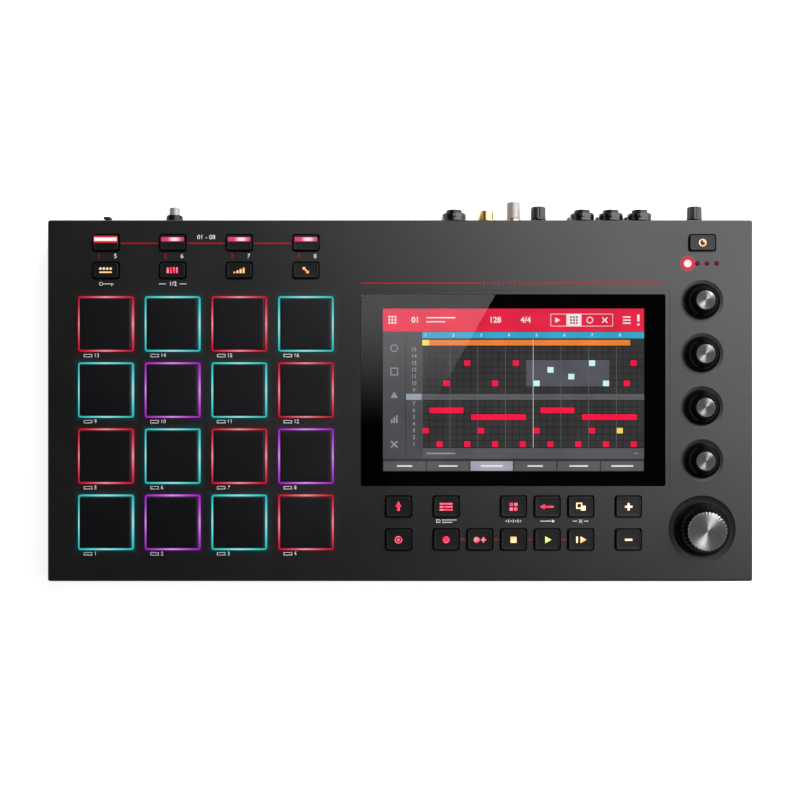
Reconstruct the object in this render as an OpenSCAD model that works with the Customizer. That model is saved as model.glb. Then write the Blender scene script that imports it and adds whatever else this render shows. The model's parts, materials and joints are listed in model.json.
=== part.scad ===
// Table-top drum machine: sixteen pads, a touch display, key rows and dials in a low two-part case.
// Millimetres, +X to the right, +Y to the rear, +Z up. The origin is on the table, under the
// middle of the whole machine, from its front edge to the tip of the ground terminal.

/* [Case] */
// Width of the case
body_w = 415.3; // [412:0.1:440]
// Depth of the case
body_d = 212.9; // [212:0.1:232]
// Height of the case, without its feet
body_h = 29; // [29:0.5:36]
// Thickness of the top plate
plate_t = 2.4; // [2:0.1:2.6]
// Thickness of the walls and of the floor
wall = 2; // [1.6:0.1:2.2]
// Radius of the four upright corners
corner_r = 2; // [1:0.25:4]
// Radius of the top edge
edge_r = 1.2; // [0.6:0.1:1.6]
// Height of the rubber feet
foot_h = 2.5; // [2:0.5:6]
// Radius of the rubber feet
foot_r = 8; // [6:0.5:12]

/* [Pads] */
// Side of a pad
pad_w = 30; // [26:0.5:31]
// Distance between pad columns
pad_pitch_x = 39.2; // [38:0.1:39.8]
// Distance between pad rows
pad_pitch_y = 38.9; // [38:0.1:39.4]
// First pad column from the left side of the case
pad_edge_x = 34.6; // [32:0.1:36]
// First pad row from the front of the case
pad_edge_y = 34.9; // [33:0.1:36]
// How far a pad stands above the top plate
pad_rise = 3; // [2:0.25:5]
// How far a pad can be pressed
pad_travel = 1; // [0.5:0.1:1.2]
// Width of the light frame round a pad
frame_t = 1; // [0.8:0.1:1.4]
// How far the light frame stands above the top plate
frame_rise = 0.9; // [0.4:0.1:1.5]

/* [Keys] */
// Width of a key cap
key_w = 15.2; // [13:0.1:15.8]
// Depth of a large key cap
key_d = 12.4; // [10:0.1:13]
// Depth of a small key cap
small_key_d = 9.6; // [8:0.1:10.5]
// Distance between neighbouring keys of a row
key_pitch = 19.8; // [19:0.1:20]
// Distance from the cursor and value keys to the row of five
key_step = 28; // [26:0.1:28.5]
// Distance between the two rows of large keys
key_row_pitch = 19.4; // [17.5:0.1:20]
// Lower row of large keys from the front of the case
key_edge_y = 24.75; // [22:0.25:26]
// Value keys from the right side of the case
key_edge_x = 73.45; // [72:0.05:75]
// Upper row of small keys from the rear of the case
bank_edge_y = 13.6; // [13:0.1:15]
// Distance between the two rows of small keys
bank_pitch = 16.2; // [14.5:0.1:17]
// How far a key stands above the top plate
key_rise = 1.6; // [1.2:0.1:3]
// How far a key can be pressed
key_travel = 0.8; // [0.3:0.1:1]

/* [Display] */
// Width of the display glass
glass_w = 179.1; // [160:0.1:182]
// Depth of the display glass
glass_d = 112.7; // [100:0.1:113]
// Thickness of the display glass
glass_t = 1.8; // [1:0.1:2]
// Middle of the display from the right side of the case
display_edge_x = 141.1; // [140:0.1:143]
// Front edge of the display glass from the front of the case
display_edge_y = 56.3; // [56:0.1:58]

/* [Dials] */
// Dials from the right side of the case
dial_edge_x = 29.9; // [28:0.1:31]
// Data dial from the front of the case
data_edge_y = 30.85; // [28:0.1:32]
// Distance from the data dial to the first small dial
data_gap = 40.45; // [38:0.1:41]
// Distance between the small dials
dial_pitch = 31.25; // [29:0.1:31.5]
// Radius of a small dial's skirt
dial_r = 10.6; // [9:0.1:11.5]
// Radius of a small dial's metal cap
dial_cap_r = 5.7; // [4.5:0.1:6]
// How far a small dial stands above the top plate
dial_rise = 9; // [7:0.5:14]
// Radius of the data dial's skirt
data_r = 15.7; // [14:0.1:17]
// Radius of the data dial's metal cap
data_cap_r = 11.4; // [10:0.1:11.8]
// How far the data dial stands above the top plate
data_rise = 12.4; // [10:0.1:18]
// How far the data dial can be pressed
data_travel = 0.8; // [0.4:0.1:0.8]
// Number of grip flutes on the data dial
data_flutes = 32; // [16:1:40]
// Radius of a dial's shaft
shaft_r = 3; // [2.5:0.1:3.2]

/* [Sockets] */
// Radius of the bore of a 6.35 mm jack socket
jack_bore_r = 3.2; // [3.2:0.05:3.3]
// Radius of a jack socket's nut
jack_nut_r = 6.95; // [6.2:0.05:7]
// How far a jack socket stands out behind the case
jack_reach = 6.5; // [5:0.1:9]
// Radius of the bore of the 3.5 mm phones socket
phones_bore_r = 1.8; // [1.8:0.05:1.9]
// Outer radius of a phono socket's sleeve
phono_r = 4.15; // [4.1:0.05:4.2]
// How far a phono socket stands out behind the case
phono_reach = 6.1; // [5:0.1:9]
// Radius of the round well of a five-pin socket
din_r = 6.75; // [6.7:0.05:6.9]
// Radius of the round well of the power inlet
inlet_r = 3.1; // [2.9:0.05:3.3]
// Radius of a level knob
level_r = 4.6; // [4:0.1:5]
// How far a level knob stands out behind the case
level_reach = 9.9; // [8:0.1:12]
// How far the ground terminal stands out behind the case
post_reach = 12.6; // [12.1:0.1:16]
// Radius of the ground terminal's nut
post_nut_r = 3.95; // [3.5:0.05:4.2]
// Radius of the power button
power_r = 3.2; // [2.6:0.1:3.6]
// How far the power button stands out behind the case
power_reach = 9.4; // [8:0.1:12]
// How far the power button can be pressed
power_travel = 2.5; // [1:0.25:3]

/* [Hidden] */
$fn = 48;
eps = 0.01;
// Gap between separate bodies, slip gap between fitted pieces, radial clearance of a turning shaft
gap = 0.3;
slip = 0.15;
run = 0.05;

// Heights, from the table up
floor_z = foot_h + wall;
top_z = foot_h + body_h;
under_z = top_z - plate_t;
split_z = foot_h + body_h / 2;
seam_h = 0.6;
seam_t = 0.4;

// The machine reaches from the front of the case to the tip of the ground terminal
mid_y = -post_reach / 2;
front_y = mid_y - body_d / 2;
rear_y = mid_y + body_d / 2;
left_x = -body_w / 2;
right_x = body_w / 2;

// Pad grid and the lattice that carries its light frames
pad_corner_r = 0.5;
pad_x = [for (i = [0 : 3]) left_x + pad_edge_x + i * pad_pitch_x];
pad_y = [for (i = [0 : 3]) front_y + pad_edge_y + i * pad_pitch_y];
frame_in = pad_w + 2 * gap;
frame_out = frame_in + 2 * frame_t;
lattice_t = 2;
pad_flange_w = frame_in + 4.4;
pad_flange_t = 2;
lattice_margin = 1;
lattice_w = 3 * pad_pitch_x + pad_flange_w + 2 * lattice_margin;
lattice_d = 3 * pad_pitch_y + pad_flange_w + 2 * lattice_margin;
lattice_x = (pad_x[0] + pad_x[3]) / 2;
lattice_y = (pad_y[0] + pad_y[3]) / 2;
pad_flange_top = under_z - lattice_t - gap;

// Control board under pads, keys and dials
board_t = 1.6;
board_z = pad_flange_top - pad_flange_t - pad_travel - gap - 0.1;
board_under = board_z - board_t;
board_margin = 13.2;

// Keys: columns and rows
key_corner_r = 1.2;
key_gap = 0.55;
key_flange = 0.8;
key_flange_t = 1.5;
key_flange_top = under_z - gap;
key_stem_r = 1.7;
switch_top = key_flange_top - key_flange_t - key_travel - gap;
switch_w = 6;
value_x = right_x - key_edge_x;
col_x = [value_x - 2 * key_step - 4 * key_pitch, for (i = [4 : -1 : 0]) value_x - key_step - i * key_pitch,
         value_x];
row_b = front_y + key_edge_y;
row_a = row_b + key_row_pitch;
bank_y = rear_y - bank_edge_y;
mode_y = bank_y - bank_pitch;
light_bar_w = 13.2;
light_bar_d = 2.3;

// Each large key: node name, column, row
KEYS = [
    ["shift_key", col_x[0], row_a], ["menu_key", col_x[1], row_a], ["main_key", col_x[3], row_a],
    ["undo_key", col_x[4], row_a], ["copy_key", col_x[5], row_a], ["plus_key", col_x[6], row_a],
    ["tap_key", col_x[0], row_b], ["record_key", col_x[1], row_b], ["overdub_key", col_x[2], row_b],
    ["stop_key", col_x[3], row_b], ["play_key", col_x[4], row_b], ["play_start_key", col_x[5], row_b],
    ["minus_key", col_x[6], row_b]
];

// Dials
dial_x = right_x - dial_edge_x;
data_y = front_y + data_edge_y;
dial_y = [for (i = [3 : -1 : 0]) data_y + data_gap + i * dial_pitch];
dish_margin = 1.9;
data_dish_margin = 4.1;
dish_t = 0.7;
bushing_wall = 1.4;
encoder_w = 12;
encoder_top = under_z - 1.7;
bushing_top = top_z - dish_t - 0.2;
dial_under = top_z - dish_t + 0.5;
data_under = top_z - dish_t + data_travel + 0.7;
data_grip_r = data_cap_r + 0.7;
plunger_r = 4;
plunger_t = 1;
plunger_pin_r = 1.2;
plunger_pin_h = 2.2;
plunger_z = board_z + data_travel + 0.7;
data_shaft_z = plunger_z + plunger_t + gap;

// Assign key over the dials, and its four lamps
assign_y = bank_y;
assign_w = 15.6;
led_r = 1.25;
led_pitch = 5.65;
led_y = assign_y - 12.1;
led_x = [for (i = [-1.5 : 1 : 1.5]) dial_x + i * led_pitch];

// Display
display_x = right_x - display_edge_x;
display_y = front_y + display_edge_y + glass_d / 2;
glass_corner_r = 1;
ledge_w = 5.2;
ledge_rim = 3;
ledge_z = top_z - glass_t;
ledge_under = under_z - 1.5;
surround_w = 2.7;
surround_t = 0.25;
module_w = glass_w - 2 * ledge_w - 2 * gap;
module_d = glass_d - 2 * ledge_w - 2 * gap;

// Main board under the rear left, and its standoffs
main_t = 1.6;
main_stand = 1;
main_z = floor_z + main_stand;
main_top = main_z + main_t;
main_front_y = mid_y;
main_left_x = left_x + board_margin;
main_w = 218.45;
main_right_x = main_left_x + main_w;
sink_w = 28;
sink_h = 8.2;
sink_base_t = 2.2;
sink_fin_t = 1.6;
sink_pitch = 4;
sink_x = main_left_x + 124.45;
sink_y = main_front_y + 44;
capacitor_r = 4;
capacitor_h = 9;
capacitor_pitch = 13;
capacitor_x = main_left_x + 44.45;
capacitor_y = main_front_y + 24;
chip_w = 11;
chip_d = 18;
chip_t = 1.4;
chip_pitch = 16;
chip_x = main_left_x + 160.45;
chip_y = main_front_y + 30;
stand_r = 3;
stand_in = 6;

// Rear sockets. Two rows of jacks share the joint line of the case.
jack_x = [for (e = [175.6, 99.45, 82.35, 65.25]) right_x - e];
jack_row = jack_nut_r + 0.2;
jack_z = [split_z - jack_row, split_z + jack_row];
jack_bushing_r = 4.7;
jack_body_w = 14;
jack_body_h = 2 * (body_h / 2 - plate_t - jack_row - 0.05);
jack_body_d = 22;
jack_depth = 24;
jack_washer_t = 1.4;
jack_nut_t = 3;
phono_x = right_x - 156.35;
phono_body_w = 10.6;
phono_body_d = 13;
phono_bore_r = 1.7;
phono_flange_t = 0.8;
phono_low_z = floor_z + 0.5;
phono_high_z = under_z - 0.5;
post_x = right_x - 139.55;
post_r = 2;
post_base_r = 4.6;
post_base_t = 2.2;
post_nut_gap = 0.5;
post_cap_t = 1.5;
record_x = right_x - 124.65;
master_x = right_x - 30.85;
level_shaft_r = 1.5;
level_bushing_r = 3.2;
level_bushing_t = 1.4;
level_body_w = 9.6;
level_body_h = 9;
level_body_d = 9;
level_shaft_in = 7;
power_x = left_x + 72.05;
power_bezel_r = 4.95;
power_bushing_r = 3.8;
power_bezel_t = 4.6;
power_in = 6;
power_body_w = 11;
power_body_d = 12;
inlet_x = left_x + 50.65;
inlet_w = 9.5;
inlet_h = 11;
inlet_d = 13;
inlet_depth = 9.5;
usb_b_x = left_x + 94.65;
usb_b_w = 12;
usb_b_h = 11.2;
usb_b_hole_w = 8.5;
usb_b_hole_h = 7.8;
usb_b_d = 16;
usb_a_x = left_x + 113.65;
usb_a_w = 14.4;
usb_a_h = 14.2;
usb_a_low = 3.7;
usb_a_pitch = 7;
usb_a_hole_w = 12.5;
usb_a_hole_h = 5.2;
usb_a_d = 18;
usb_depth = 9;
card_x = left_x + 138.65;
card_w = 28;
card_h = 4.6;
card_d = 26;
card_slot_w = 24.6;
card_slot_h = 2.6;
card_depth = 20;
card_rim = 0.7;
din_w = 16.6;
din_pitch = 17;
din_x = [for (i = [0 : 3]) left_x + 172.15 + i * din_pitch];
din_h = 16.8;
din_d = 14;
din_depth = 8;
din_z = main_top + din_h / 2;
phones_x = left_x + 27.6;
phones_bushing_r = 4;
phones_body_w = 9;
phones_body_h = 8;
phones_body_d = 15;
phones_depth = 14.5;
hook_x = left_x + 30.15;
hook_w = 3.8;
hook_reach = 4.8;
hook_h = 8;

// Screws, their bosses and the feet
screw_r = 1.45;
screw_len = 9;
screw_head_r = 2.8;
screw_head_t = 1.7;
boss_r = 4;
boss_foot_t = 1.6;
boss_hole_deep = 8.6;
boss_inset_x = 8.7;
boss_inset_front = 7.6;
boss_inset_rear = 12.6;
boss_mid_x = -14.5;
boss_mid_inset = 22.6;
BOSSES = [
    [left_x + boss_inset_x, front_y + boss_inset_front], [0, front_y + boss_inset_front],
    [right_x - boss_inset_x, front_y + boss_inset_front], [left_x + boss_inset_x, rear_y - boss_inset_rear],
    [boss_mid_x, rear_y - boss_mid_inset], [right_x - boss_inset_x, rear_y - boss_inset_rear]
];
foot_inset = 26;
FEET = [for (x = [left_x + foot_inset, right_x - foot_inset],
             y = [front_y + foot_inset, rear_y - foot_inset])
    [x, y]];
foot_stud_r = 2;

// Battery pack, drive-bay door and vents under the right half
battery_w = 132;
battery_d = 84;
battery_h = 14;
battery_edge_x = 104;
battery_edge_y = 66;
battery_x = right_x - battery_edge_x;
battery_y = front_y + battery_edge_y;
cell_gap = 1.2;
cell_r = 2.5;
sleeve_in = 6;
bay_w = 106;
bay_d = 76;
bay_edge_x = 167.65;
bay_edge_y = 62;
bay_x = left_x + bay_edge_x;
bay_y = front_y + bay_edge_y;
bay_corner_r = 4;
groove_w = 1;
groove_t = 0.8;
vent_w = 2.4;
vent_l = 34;
vent_pitch = 6.5;
vent_count = 9;
vent_inset = 62;
vent_x = [left_x + 79.65, right_x - 111.65];

// Posts that the control board hangs from: between pads and display, beside the dials
post_hang_r = 3;
hang_left_x = (lattice_x + lattice_w / 2 + display_x - glass_w / 2 - ledge_rim) / 2;
hang_right_x = (display_x + glass_w / 2 + ledge_rim + dial_x - encoder_w / 2) / 2;
hang_front = 46;
hang_rear = 58;
hang_key = 21;
hang_dial = 7;
hang_dial_y = (dial_y[1] + dial_y[2]) / 2;
HANGERS = [
    [hang_left_x, lattice_y - hang_front], [hang_left_x, lattice_y + hang_rear],
    [value_x + hang_key, (row_a + row_b) / 2],
    [hang_right_x, hang_dial_y], [dial_x + encoder_w / 2 + hang_dial, hang_dial_y]
];

// Rectangle w by d with round corners, about its middle
module round_rect(w, d, r) {
    square([w - 2 * r, d], center = true);
    square([w, d - 2 * r], center = true);
    for (x = [-1, 1], y = [-1, 1]) translate([x * (w / 2 - r), y * (d / 2 - r)]) circle(r);
}

// Upright plate or hole of that outline, standing on z = 0
module round_plate(w, d, h, r) {
    linear_extrude(h) round_rect(w, d, r);
}

// Side view of a block: flat below, its two upper corners round
module crown(w, h, r) {
    translate([-w / 2, 0]) square([w, h - r]);
    translate([-w / 2 + r, 0]) square([w - 2 * r, h]);
    for (x = [-1, 1]) translate([x * (w / 2 - r), h - r]) circle(r);
}

// Block with round upright corners and a round top edge, standing on z = 0
module soft_block(w, d, h, corner, edge) {
    intersection() {
        round_plate(w, d, h, corner);
        rotate([90, 0, 0]) linear_extrude(d + 2, center = true) crown(w, h, edge);
        rotate([90, 0, 90]) linear_extrude(w + 2, center = true) crown(d, h, edge);
    }
}

// Box from its low corner to its high corner
module span(low, high) {
    translate(low) cube(high - low);
}

// Cylinder along Y, from y0 to y1, on the axis through x and z
module rod(x, z, y0, y1, r) {
    translate([x, y1, z]) rotate([90, 0, 0]) cylinder(h = y1 - y0, r = r);
}

// Place children at each pad, numbered from the front left
module at_pad(i) {
    translate([pad_x[i % 4], pad_y[floor(i / 4)], 0]) children();
}

// Square cut-out in one half's wall for a bushing, open towards the joint line of the case. The
// bushing's washer covers its corners.
module bushing_slot(x, z, r, y0, y1, upper) {
    if ((z > split_z) == upper)
        span([x - r, y0, upper ? split_z - eps : z - r], [x + r, y1, upper ? z + r : split_z + eps]);
}

// Cut-out in one half's wall for a socket that stands on the main board, open at the joint line
module socket_cut(x, w, h, upper) {
    top = main_top + h + slip;
    if (!upper || top > split_z)
        span([x - w / 2 - slip, rear_y - wall - eps, upper ? split_z - eps : main_top - slip],
             [x + w / 2 + slip, rear_y + eps, upper ? top : split_z + eps]);
}

// Cut-outs of the rear and front walls, in the upper or the lower half of the case
module wall_cuts(upper) {
    y0 = rear_y - wall - eps;
    y1 = rear_y + eps;
    for (x = jack_x, z = jack_z) bushing_slot(x, z, jack_bushing_r + slip, y0, y1, upper);
    for (x = [record_x, master_x]) rod(x, split_z, y0, y1, level_bushing_r + slip);
    rod(post_x, split_z, y0, y1, post_r + slip);
    rod(power_x, split_z, y0, y1, power_bushing_r + slip);
    span([phones_x - phones_bushing_r - slip, front_y - eps, split_z - phones_bushing_r - slip],
         [phones_x + phones_bushing_r + slip, front_y + wall + eps, split_z + phones_bushing_r + slip]);
    span([phono_x - phono_body_w / 2 - slip, y0, phono_low_z - slip],
         [phono_x + phono_body_w / 2 + slip, y1, phono_high_z + slip]);
    socket_cut(inlet_x, inlet_w, inlet_h, upper);
    socket_cut(usb_b_x, usb_b_w, usb_b_h, upper);
    socket_cut(usb_a_x, usb_a_w, usb_a_h, upper);
    socket_cut((din_x[0] + din_x[3]) / 2, 3 * din_pitch + din_w, din_h, upper);
    if (!upper)
        span([card_x - card_slot_w / 2 - card_rim, y0, main_top + (card_h - card_slot_h) / 2 - card_rim],
             [card_x + card_slot_w / 2 + card_rim, y1, main_top + (card_h + card_slot_h) / 2 + card_rim]);
}

// Aperture in the top plate for a key cap
module key_hole(x, y, w, d) {
    translate([x, y, under_z - eps])
        round_plate(w + 2 * key_gap, d + 2 * key_gap, plate_t + 2 * eps, key_corner_r + key_gap);
}

// Upper half of the case: top plate, upper walls, bosses and display ledge
module top_housing() color("#2c2c2e") difference() {
    union() {
        difference() {
            translate([0, mid_y, split_z]) soft_block(body_w, body_d, top_z - split_z, corner_r, edge_r);
            span([left_x + wall, front_y + wall, split_z - eps], [right_x - wall, rear_y - wall, under_z]);
        }
        for (b = BOSSES) translate([b[0], b[1], floor_z + boss_foot_t])
            cylinder(h = under_z - floor_z - boss_foot_t + eps, r = boss_r);
        for (h = HANGERS) translate([h[0], h[1], board_z])
            cylinder(h = under_z - board_z + eps, r = post_hang_r);
        translate([display_x, display_y, ledge_under])
            round_plate(glass_w + 2 * ledge_rim, glass_d + 2 * ledge_rim, under_z - ledge_under + eps, 2);
    }
    for (b = BOSSES) translate([b[0], b[1], floor_z + boss_foot_t - eps])
        cylinder(h = boss_hole_deep, r = screw_r + run);
    for (i = [0 : 15]) at_pad(i) translate([0, 0, under_z - eps])
        round_plate(frame_out + 2 * slip, frame_out + 2 * slip, plate_t + 2 * eps,
                    pad_corner_r + frame_t + slip);
    for (k = KEYS) key_hole(k[1], k[2], key_w, key_d);
    for (x = pad_x, y = [bank_y, mode_y]) key_hole(x, y, key_w, small_key_d);
    key_hole(dial_x, assign_y, assign_w, small_key_d);
    for (x = led_x) translate([x, led_y, under_z - eps]) cylinder(h = plate_t + 2 * eps, r = led_r + slip);
    for (y = dial_y) translate([dial_x, y, 0]) dish(dial_r + dish_margin, shaft_r + bushing_wall + slip);
    translate([dial_x, data_y, 0]) dish(data_r + data_dish_margin, shaft_r + bushing_wall + slip);
    translate([display_x, display_y, 0]) {
        translate([0, 0, top_z - surround_t])
            round_plate(glass_w + 2 * surround_w, glass_d + 2 * surround_w, surround_t + eps, 2);
        translate([0, 0, ledge_z])
            round_plate(glass_w + 2 * slip, glass_d + 2 * slip, glass_t + eps, glass_corner_r + slip);
        translate([0, 0, ledge_under - eps])
            round_plate(module_w + 2 * gap, module_d + 2 * gap, ledge_z - ledge_under + 2 * eps, 1);
    }
    wall_cuts(true);
}

// Shallow dish round a dial, with the hole for its bushing
module dish(r, hole_r) {
    translate([0, 0, top_z - dish_t]) cylinder(h = dish_t + eps, r1 = r - 0.8, r2 = r);
    translate([0, 0, under_z - eps]) cylinder(h = plate_t, r = hole_r);
}

// Lower half of the case: tray with vents, drive-bay door outline, bosses, standoffs and cord hook
module bottom_pan() color("#202022") {
    difference() {
        union() {
            difference() {
                translate([0, mid_y, split_z]) mirror([0, 0, 1])
                    soft_block(body_w, body_d, split_z - foot_h, corner_r, edge_r);
                span([left_x + wall, front_y + wall, floor_z],
                     [right_x - wall, rear_y - wall, split_z + eps]);
                seam();
            }
            for (b = BOSSES) translate([b[0], b[1], floor_z - eps])
                cylinder(h = boss_foot_t + eps, r = boss_r + 1);
            for (x = [main_left_x + 2 * stand_in, main_right_x - stand_in],
                 y = [main_front_y + stand_in, rear_y - 6 * stand_in])
                translate([x, y, floor_z - eps]) cylinder(h = main_stand + eps, r = stand_r);
            cord_hook();
        }
        for (b = BOSSES) translate([b[0], b[1], 0]) {
            translate([0, 0, foot_h - eps]) cylinder(h = screw_head_t + 0.5, r = screw_head_r + slip);
            cylinder(h = split_z, r = screw_r + slip);
        }
        for (f = FEET) translate([f[0], f[1], foot_h - eps])
            cylinder(h = wall + 2 * eps, r = foot_stud_r + slip);
        for (x = vent_x, i = [0 : vent_count - 1])
            translate([x + (i - (vent_count - 1) / 2) * vent_pitch, rear_y - vent_inset, foot_h - eps])
                round_plate(vent_w, vent_l, wall + 2 * eps, vent_w / 2 - 0.2);
        translate([bay_x, bay_y, foot_h - eps]) difference() {
            round_plate(bay_w, bay_d, groove_t, bay_corner_r);
            translate([0, 0, -eps])
                round_plate(bay_w - 2 * groove_w, bay_d - 2 * groove_w, groove_t + 2 * eps,
                            bay_corner_r - groove_w);
        }
        wall_cuts(false);
    }
}

// Shadow line round the case, where the two halves meet
module seam() {
    translate([0, mid_y, split_z - seam_h]) difference() {
        round_plate(body_w + 2, body_d + 2, seam_h + eps, corner_r);
        translate([0, 0, -eps])
            round_plate(body_w - 2 * seam_t, body_d - 2 * seam_t, seam_h + 3 * eps, corner_r - seam_t);
    }
}

// Small hook that the power cord is looped over
module cord_hook() {
    span([hook_x - hook_w / 2, rear_y - eps, split_z - hook_h - 2],
         [hook_x + hook_w / 2, rear_y + hook_reach, split_z - hook_h]);
    span([hook_x - hook_w / 2, rear_y + hook_reach - 1.4, split_z - hook_h - eps],
         [hook_x + hook_w / 2, rear_y + hook_reach, split_z - 4]);
}

// Cover glass with the touch sensor, set flush into the top plate
module display_glass() color("#08080a")
    translate([display_x, display_y, ledge_z]) round_plate(glass_w, glass_d, glass_t, glass_corner_r);

// Screen module between the control board and the glass, with its metal back frame
module display_module() color("#8a8c90") translate([display_x, display_y, 0]) {
    frame_z = board_z + 2.2;
    translate([0, 0, board_z]) round_plate(module_w - 6, module_d - 6, frame_z - board_z + eps, 1);
    translate([0, 0, frame_z]) round_plate(module_w, module_d, ledge_z - frame_z, 1);
}

// Lattice with a raised clear frame round each pad, and the four lamp lenses
module light_guides() color("#e8e4e8") {
    difference() {
        union() {
            translate([lattice_x, lattice_y, under_z - lattice_t])
                round_plate(lattice_w, lattice_d, lattice_t, pad_corner_r);
            for (i = [0 : 15]) at_pad(i) translate([0, 0, under_z - eps])
                round_plate(frame_out, frame_out, plate_t + frame_rise + eps, pad_corner_r + frame_t);
        }
        for (i = [0 : 15]) at_pad(i) translate([0, 0, under_z - lattice_t - eps])
            round_plate(frame_in, frame_in, lattice_t + plate_t + frame_rise + 3 * eps, pad_corner_r);
    }
    for (x = led_x) translate([x, led_y, board_z]) {
        cylinder(h = top_z - board_z - led_r + 0.6, r = led_r);
        translate([0, 0, top_z - board_z - led_r + 0.6]) sphere(led_r);
    }
}

// Control board: one board under pads, keys and dials, with its key switches and encoders
module control_board() color("#1d4a30") {
    difference() {
        union() {
            board_plan();
            for (k = KEYS) key_switch(k[1], k[2]);
            for (x = pad_x, y = [bank_y, mode_y]) key_switch(x, y);
            key_switch(dial_x, assign_y);
            for (y = concat(dial_y, [data_y])) translate([dial_x, y, board_z - eps]) {
                round_plate(encoder_w, encoder_w, encoder_top - board_z, 0.8);
                cylinder(h = bushing_top - board_z, r = shaft_r + bushing_wall);
            }
        }
        for (k = KEYS) switch_bore(k[1], k[2]);
        for (x = pad_x, y = [bank_y, mode_y]) switch_bore(x, y);
        switch_bore(dial_x, assign_y);
        for (y = dial_y) translate([dial_x, y, board_z + 0.4]) cylinder(h = body_h, r = shaft_r + run);
        translate([dial_x, data_y, board_z + 0.3]) {
            cylinder(h = plunger_z + plunger_t + gap - board_z - 0.3, r = plunger_r + 0.2);
            cylinder(h = body_h, r = shaft_r + run);
        }
    }
}

// Outline of the control board: the main field and two tabs that reach under the rear keys
module board_plan() {
    tab_y = rear_y - 28.4;
    span([left_x + board_margin, front_y + 14.4, board_under], [right_x - board_margin, tab_y, board_z]);
    span([left_x + board_margin, tab_y - eps, board_under],
         [pad_x[3] + key_w / 2 + 2.6, rear_y - 6.4, board_z]);
    span([dial_x - 16, tab_y - eps, board_under], [dial_x + 14, bank_y + switch_w / 2 + 0.4, board_z]);
}

// Body of a push switch
module key_switch(x, y) {
    translate([x - switch_w / 2, y - switch_w / 2, board_z - eps])
        cube([switch_w, switch_w, switch_top - board_z]);
}

// Guide bore of a push switch
module switch_bore(x, y) {
    translate([x, y, board_z + 0.4]) cylinder(h = switch_top, r = key_stem_r + run);
}

// Main board with its processor, heat sink and capacitors
module main_board() color("#24503a") {
    difference() {
        span([main_left_x, main_front_y, main_z], [main_right_x, rear_y - wall - gap, main_top]);
        translate([boss_mid_x, rear_y - boss_mid_inset, 0]) cylinder(h = split_z, r = boss_r + 1.4);
        translate([left_x + boss_inset_x, rear_y - boss_inset_rear, 0])
            cylinder(h = split_z, r = boss_r + 1.4);
    }
    translate([sink_x, sink_y, main_top - eps]) {
        translate([-sink_w / 2, -sink_w / 2, 0]) cube([sink_w, sink_w, sink_base_t + eps]);
        for (i = [-3 : 3]) translate([i * sink_pitch - sink_fin_t / 2, -sink_w / 2, sink_base_t])
            cube([sink_fin_t, sink_w, sink_h - sink_base_t]);
    }
    for (i = [0 : 3]) translate([capacitor_x + i * capacitor_pitch, capacitor_y, main_top - eps])
        cylinder(h = capacitor_h, r = capacitor_r);
    for (i = [0 : 2]) translate([chip_x + i * chip_pitch, chip_y, main_top - eps])
        cube([chip_w, chip_d, chip_t]);
}

// Flat lithium pack on the floor of the case, three cells side by side in one sleeve
module battery_pack() color("#35506e") translate([battery_x, battery_y, floor_z]) {
    cell_w = battery_w / 3;
    for (i = [-1 : 1]) translate([i * cell_w, 0, 0])
        soft_block(cell_w - cell_gap, battery_d, battery_h, cell_r, cell_r - 0.5);
    translate([-battery_w / 2 + sleeve_in, -battery_d / 2 + sleeve_in, cell_gap / 2])
        cube([battery_w - 2 * sleeve_in, battery_d - 2 * sleeve_in, battery_h - cell_gap]);
}

// Jack socket with its body behind the wall, bushing, washer and nut
module jack(x, z) {
    inner_y = rear_y - wall;
    difference() {
        union() {
            span([x - jack_body_w / 2, inner_y - jack_body_d, z - jack_body_h / 2],
                 [x + jack_body_w / 2, inner_y, z + jack_body_h / 2]);
            rod(x, z, inner_y - eps, rear_y + jack_reach, jack_bushing_r);
            rod(x, z, rear_y, rear_y + jack_washer_t, jack_nut_r);
            translate([x, rear_y + jack_washer_t + jack_nut_t, z]) rotate([90, 0, 0])
                cylinder(h = jack_nut_t + eps, r = jack_nut_r - 0.1, $fn = 12);
        }
        rod(x, z, rear_y + jack_reach - jack_depth, rear_y + jack_reach + eps, jack_bore_r);
    }
}

// Two phono sockets, one over the other, on one moulded block
module phono_pair() {
    inner_y = rear_y - wall - phono_body_d;
    difference() {
        union() {
            span([phono_x - phono_body_w / 2, inner_y, phono_low_z],
                 [phono_x + phono_body_w / 2, rear_y, phono_high_z]);
            for (z = jack_z) {
                rod(phono_x, z, rear_y - eps, rear_y + phono_reach, phono_r);
                rod(phono_x, z, rear_y, rear_y + phono_flange_t, phono_r + 0.9);
            }
        }
        for (z = jack_z) rod(phono_x, z, rear_y - 2, rear_y + phono_reach + eps, phono_bore_r);
    }
}

// Level control: body behind the wall and the bushing that its knob's shaft turns in
module level_control(x) {
    inner_y = rear_y - wall;
    difference() {
        union() {
            span([x - level_body_w / 2, inner_y - level_body_d, split_z - level_body_h / 2],
                 [x + level_body_w / 2, inner_y, split_z + level_body_h / 2]);
            rod(x, split_z, inner_y - eps, rear_y + level_bushing_t, level_bushing_r);
        }
        rod(x, split_z, inner_y - level_shaft_in, rear_y + level_bushing_t + eps, level_shaft_r + run);
    }
}

// Ground terminal: insulating base, and the screw post that the nut turns on
module ground_post() {
    rod(post_x, split_z, rear_y, rear_y + post_base_t, post_base_r);
    rod(post_x, split_z, rear_y - wall - 3, rear_y + post_reach - post_cap_t - 0.5, post_r);
    rod(post_x, split_z, rear_y - wall - 3, rear_y - wall, post_base_r);
}

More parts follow.
